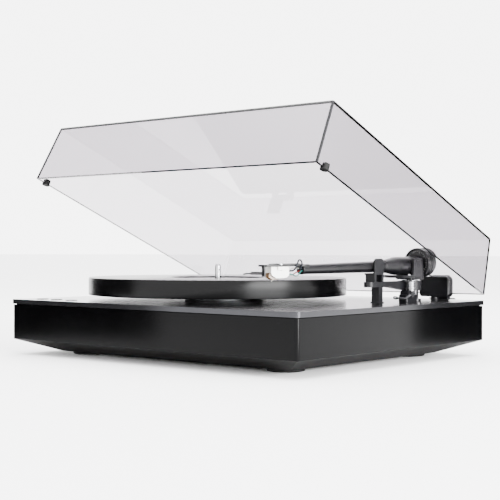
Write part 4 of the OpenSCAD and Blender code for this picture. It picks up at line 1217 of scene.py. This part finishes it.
@dataclass
class RestAndLift:
    """The arm's rest, its bracket and the cueing lift."""

    bench: Bench

    def build(self) -> list[Piece]:
        """Builds the rest and the lift.

        Returns:
            The new pieces.
        """
        b = self.bench
        made = [
            b.finished("rest_bracket", BLACK_CAST, 0.0005, 2),
            b.finished("arm_rest", BLACK_CAST, 0.0004, 2),
            b.finished("lift_housing", BLACK_CAST, 0.0003, 2),
            b.finished("lift_platform", BLACK_CAST, 0.0003, 2),
            b.finished("cue_lever", LEVER, 0.0002, 2),
        ]
        made += self.make_lift_sleeve()
        return made

    def make_lift_sleeve(self) -> list[Piece]:
        """Turns the bright sleeve over the lift's cylinder.

        Returns:
            The sleeve.
        """
        low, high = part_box("lift_housing")
        middle = Vector((self.bench.joint("arm_tilt")["pos_m"][0] + 0.0125, high.y - 0.0055, 0.0))
        r = 0.0048
        foot, top = low.z + 0.0088, high.z
        profile = [(r - 0.0001, foot), (r + 0.0006, foot), (r + 0.0006, foot + 0.0012),
                   (r + 0.0002, foot + 0.0015),
                   (r + 0.0002, foot + 0.006), (r + 0.0006, foot + 0.0064), (r + 0.0006, foot + 0.0085),
                   (r + 0.0002, foot + 0.0089), (r + 0.0002, top - 0.0006), (r - 0.0003, top),
                   (0.0021, top), (0.0021, top - 0.0001), (r - 0.0001, top - 0.0001)]
        return [self.bench.piece("lift_sleeve", turned(profile, 72), BRIGHT, "plinth", "lever_metal",
                                 Matrix.Translation(middle))]


@dataclass
class AntiSkate:
    """The bevelled block that holds the side-force setting, and its slider."""

    bench: Bench

    def build(self) -> list[Piece]:
        """Builds the block, its slider and the marks beside the slot.

        Returns:
            The new pieces.
        """
        b = self.bench
        made = [b.finished("anti_skate_housing", BLACK_CAST, 0.0005, 2),
                b.finished("anti_skate_slider", BRIGHT, 0.0003, 2)]
        made.append(self.make_marks())
        return made

    def make_marks(self) -> Piece:
        """Raises short pale marks along the slider's slot.

        Returns:
            The marks.
        """
        low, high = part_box("anti_skate_housing")
        x0 = (low.x + high.x) / 2
        y0 = (low.y + high.y) / 2
        work = bmesh.new()
        for i in range(9):
            x = x0 + (i - 4) * 0.003
            long = 0.0012 if i % 2 == 0 else 0.0007
            spot = Vector((x, y0 - 0.0023 - long / 2, high.z))
            at = Matrix.Translation(spot) @ Matrix.Diagonal((0.0003, long, 0.0002, 1.0))
            bmesh.ops.create_cube(work, size=1.0, matrix=at)
        return self.bench.piece("anti_skate_marks", work, WHITE_MARK, "plinth", "lever_metal")


def main() -> None:
    """Builds the sub-assemblies in order and reports their pieces."""
    logging.basicConfig(level=logging.INFO, format="%(message)s")
    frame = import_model()
    bench = Bench.from_frame(frame)
    Studio().build()
    seat = ArmPlace.from_bench(bench)
    sets = (Plinth(bench), PlatterSet(bench), Controls(bench), RearPanel(bench), DustCover(bench),
            Tonearm(bench, seat), RestAndLift(bench), AntiSkate(bench))
    for part in sets:
        made = part.build()
        for obj in made:
            log.info("%s: %s, %d faces", type(part).__name__, obj.name, len(obj.data.polygons))


if __name__ == "__main__":
    main()
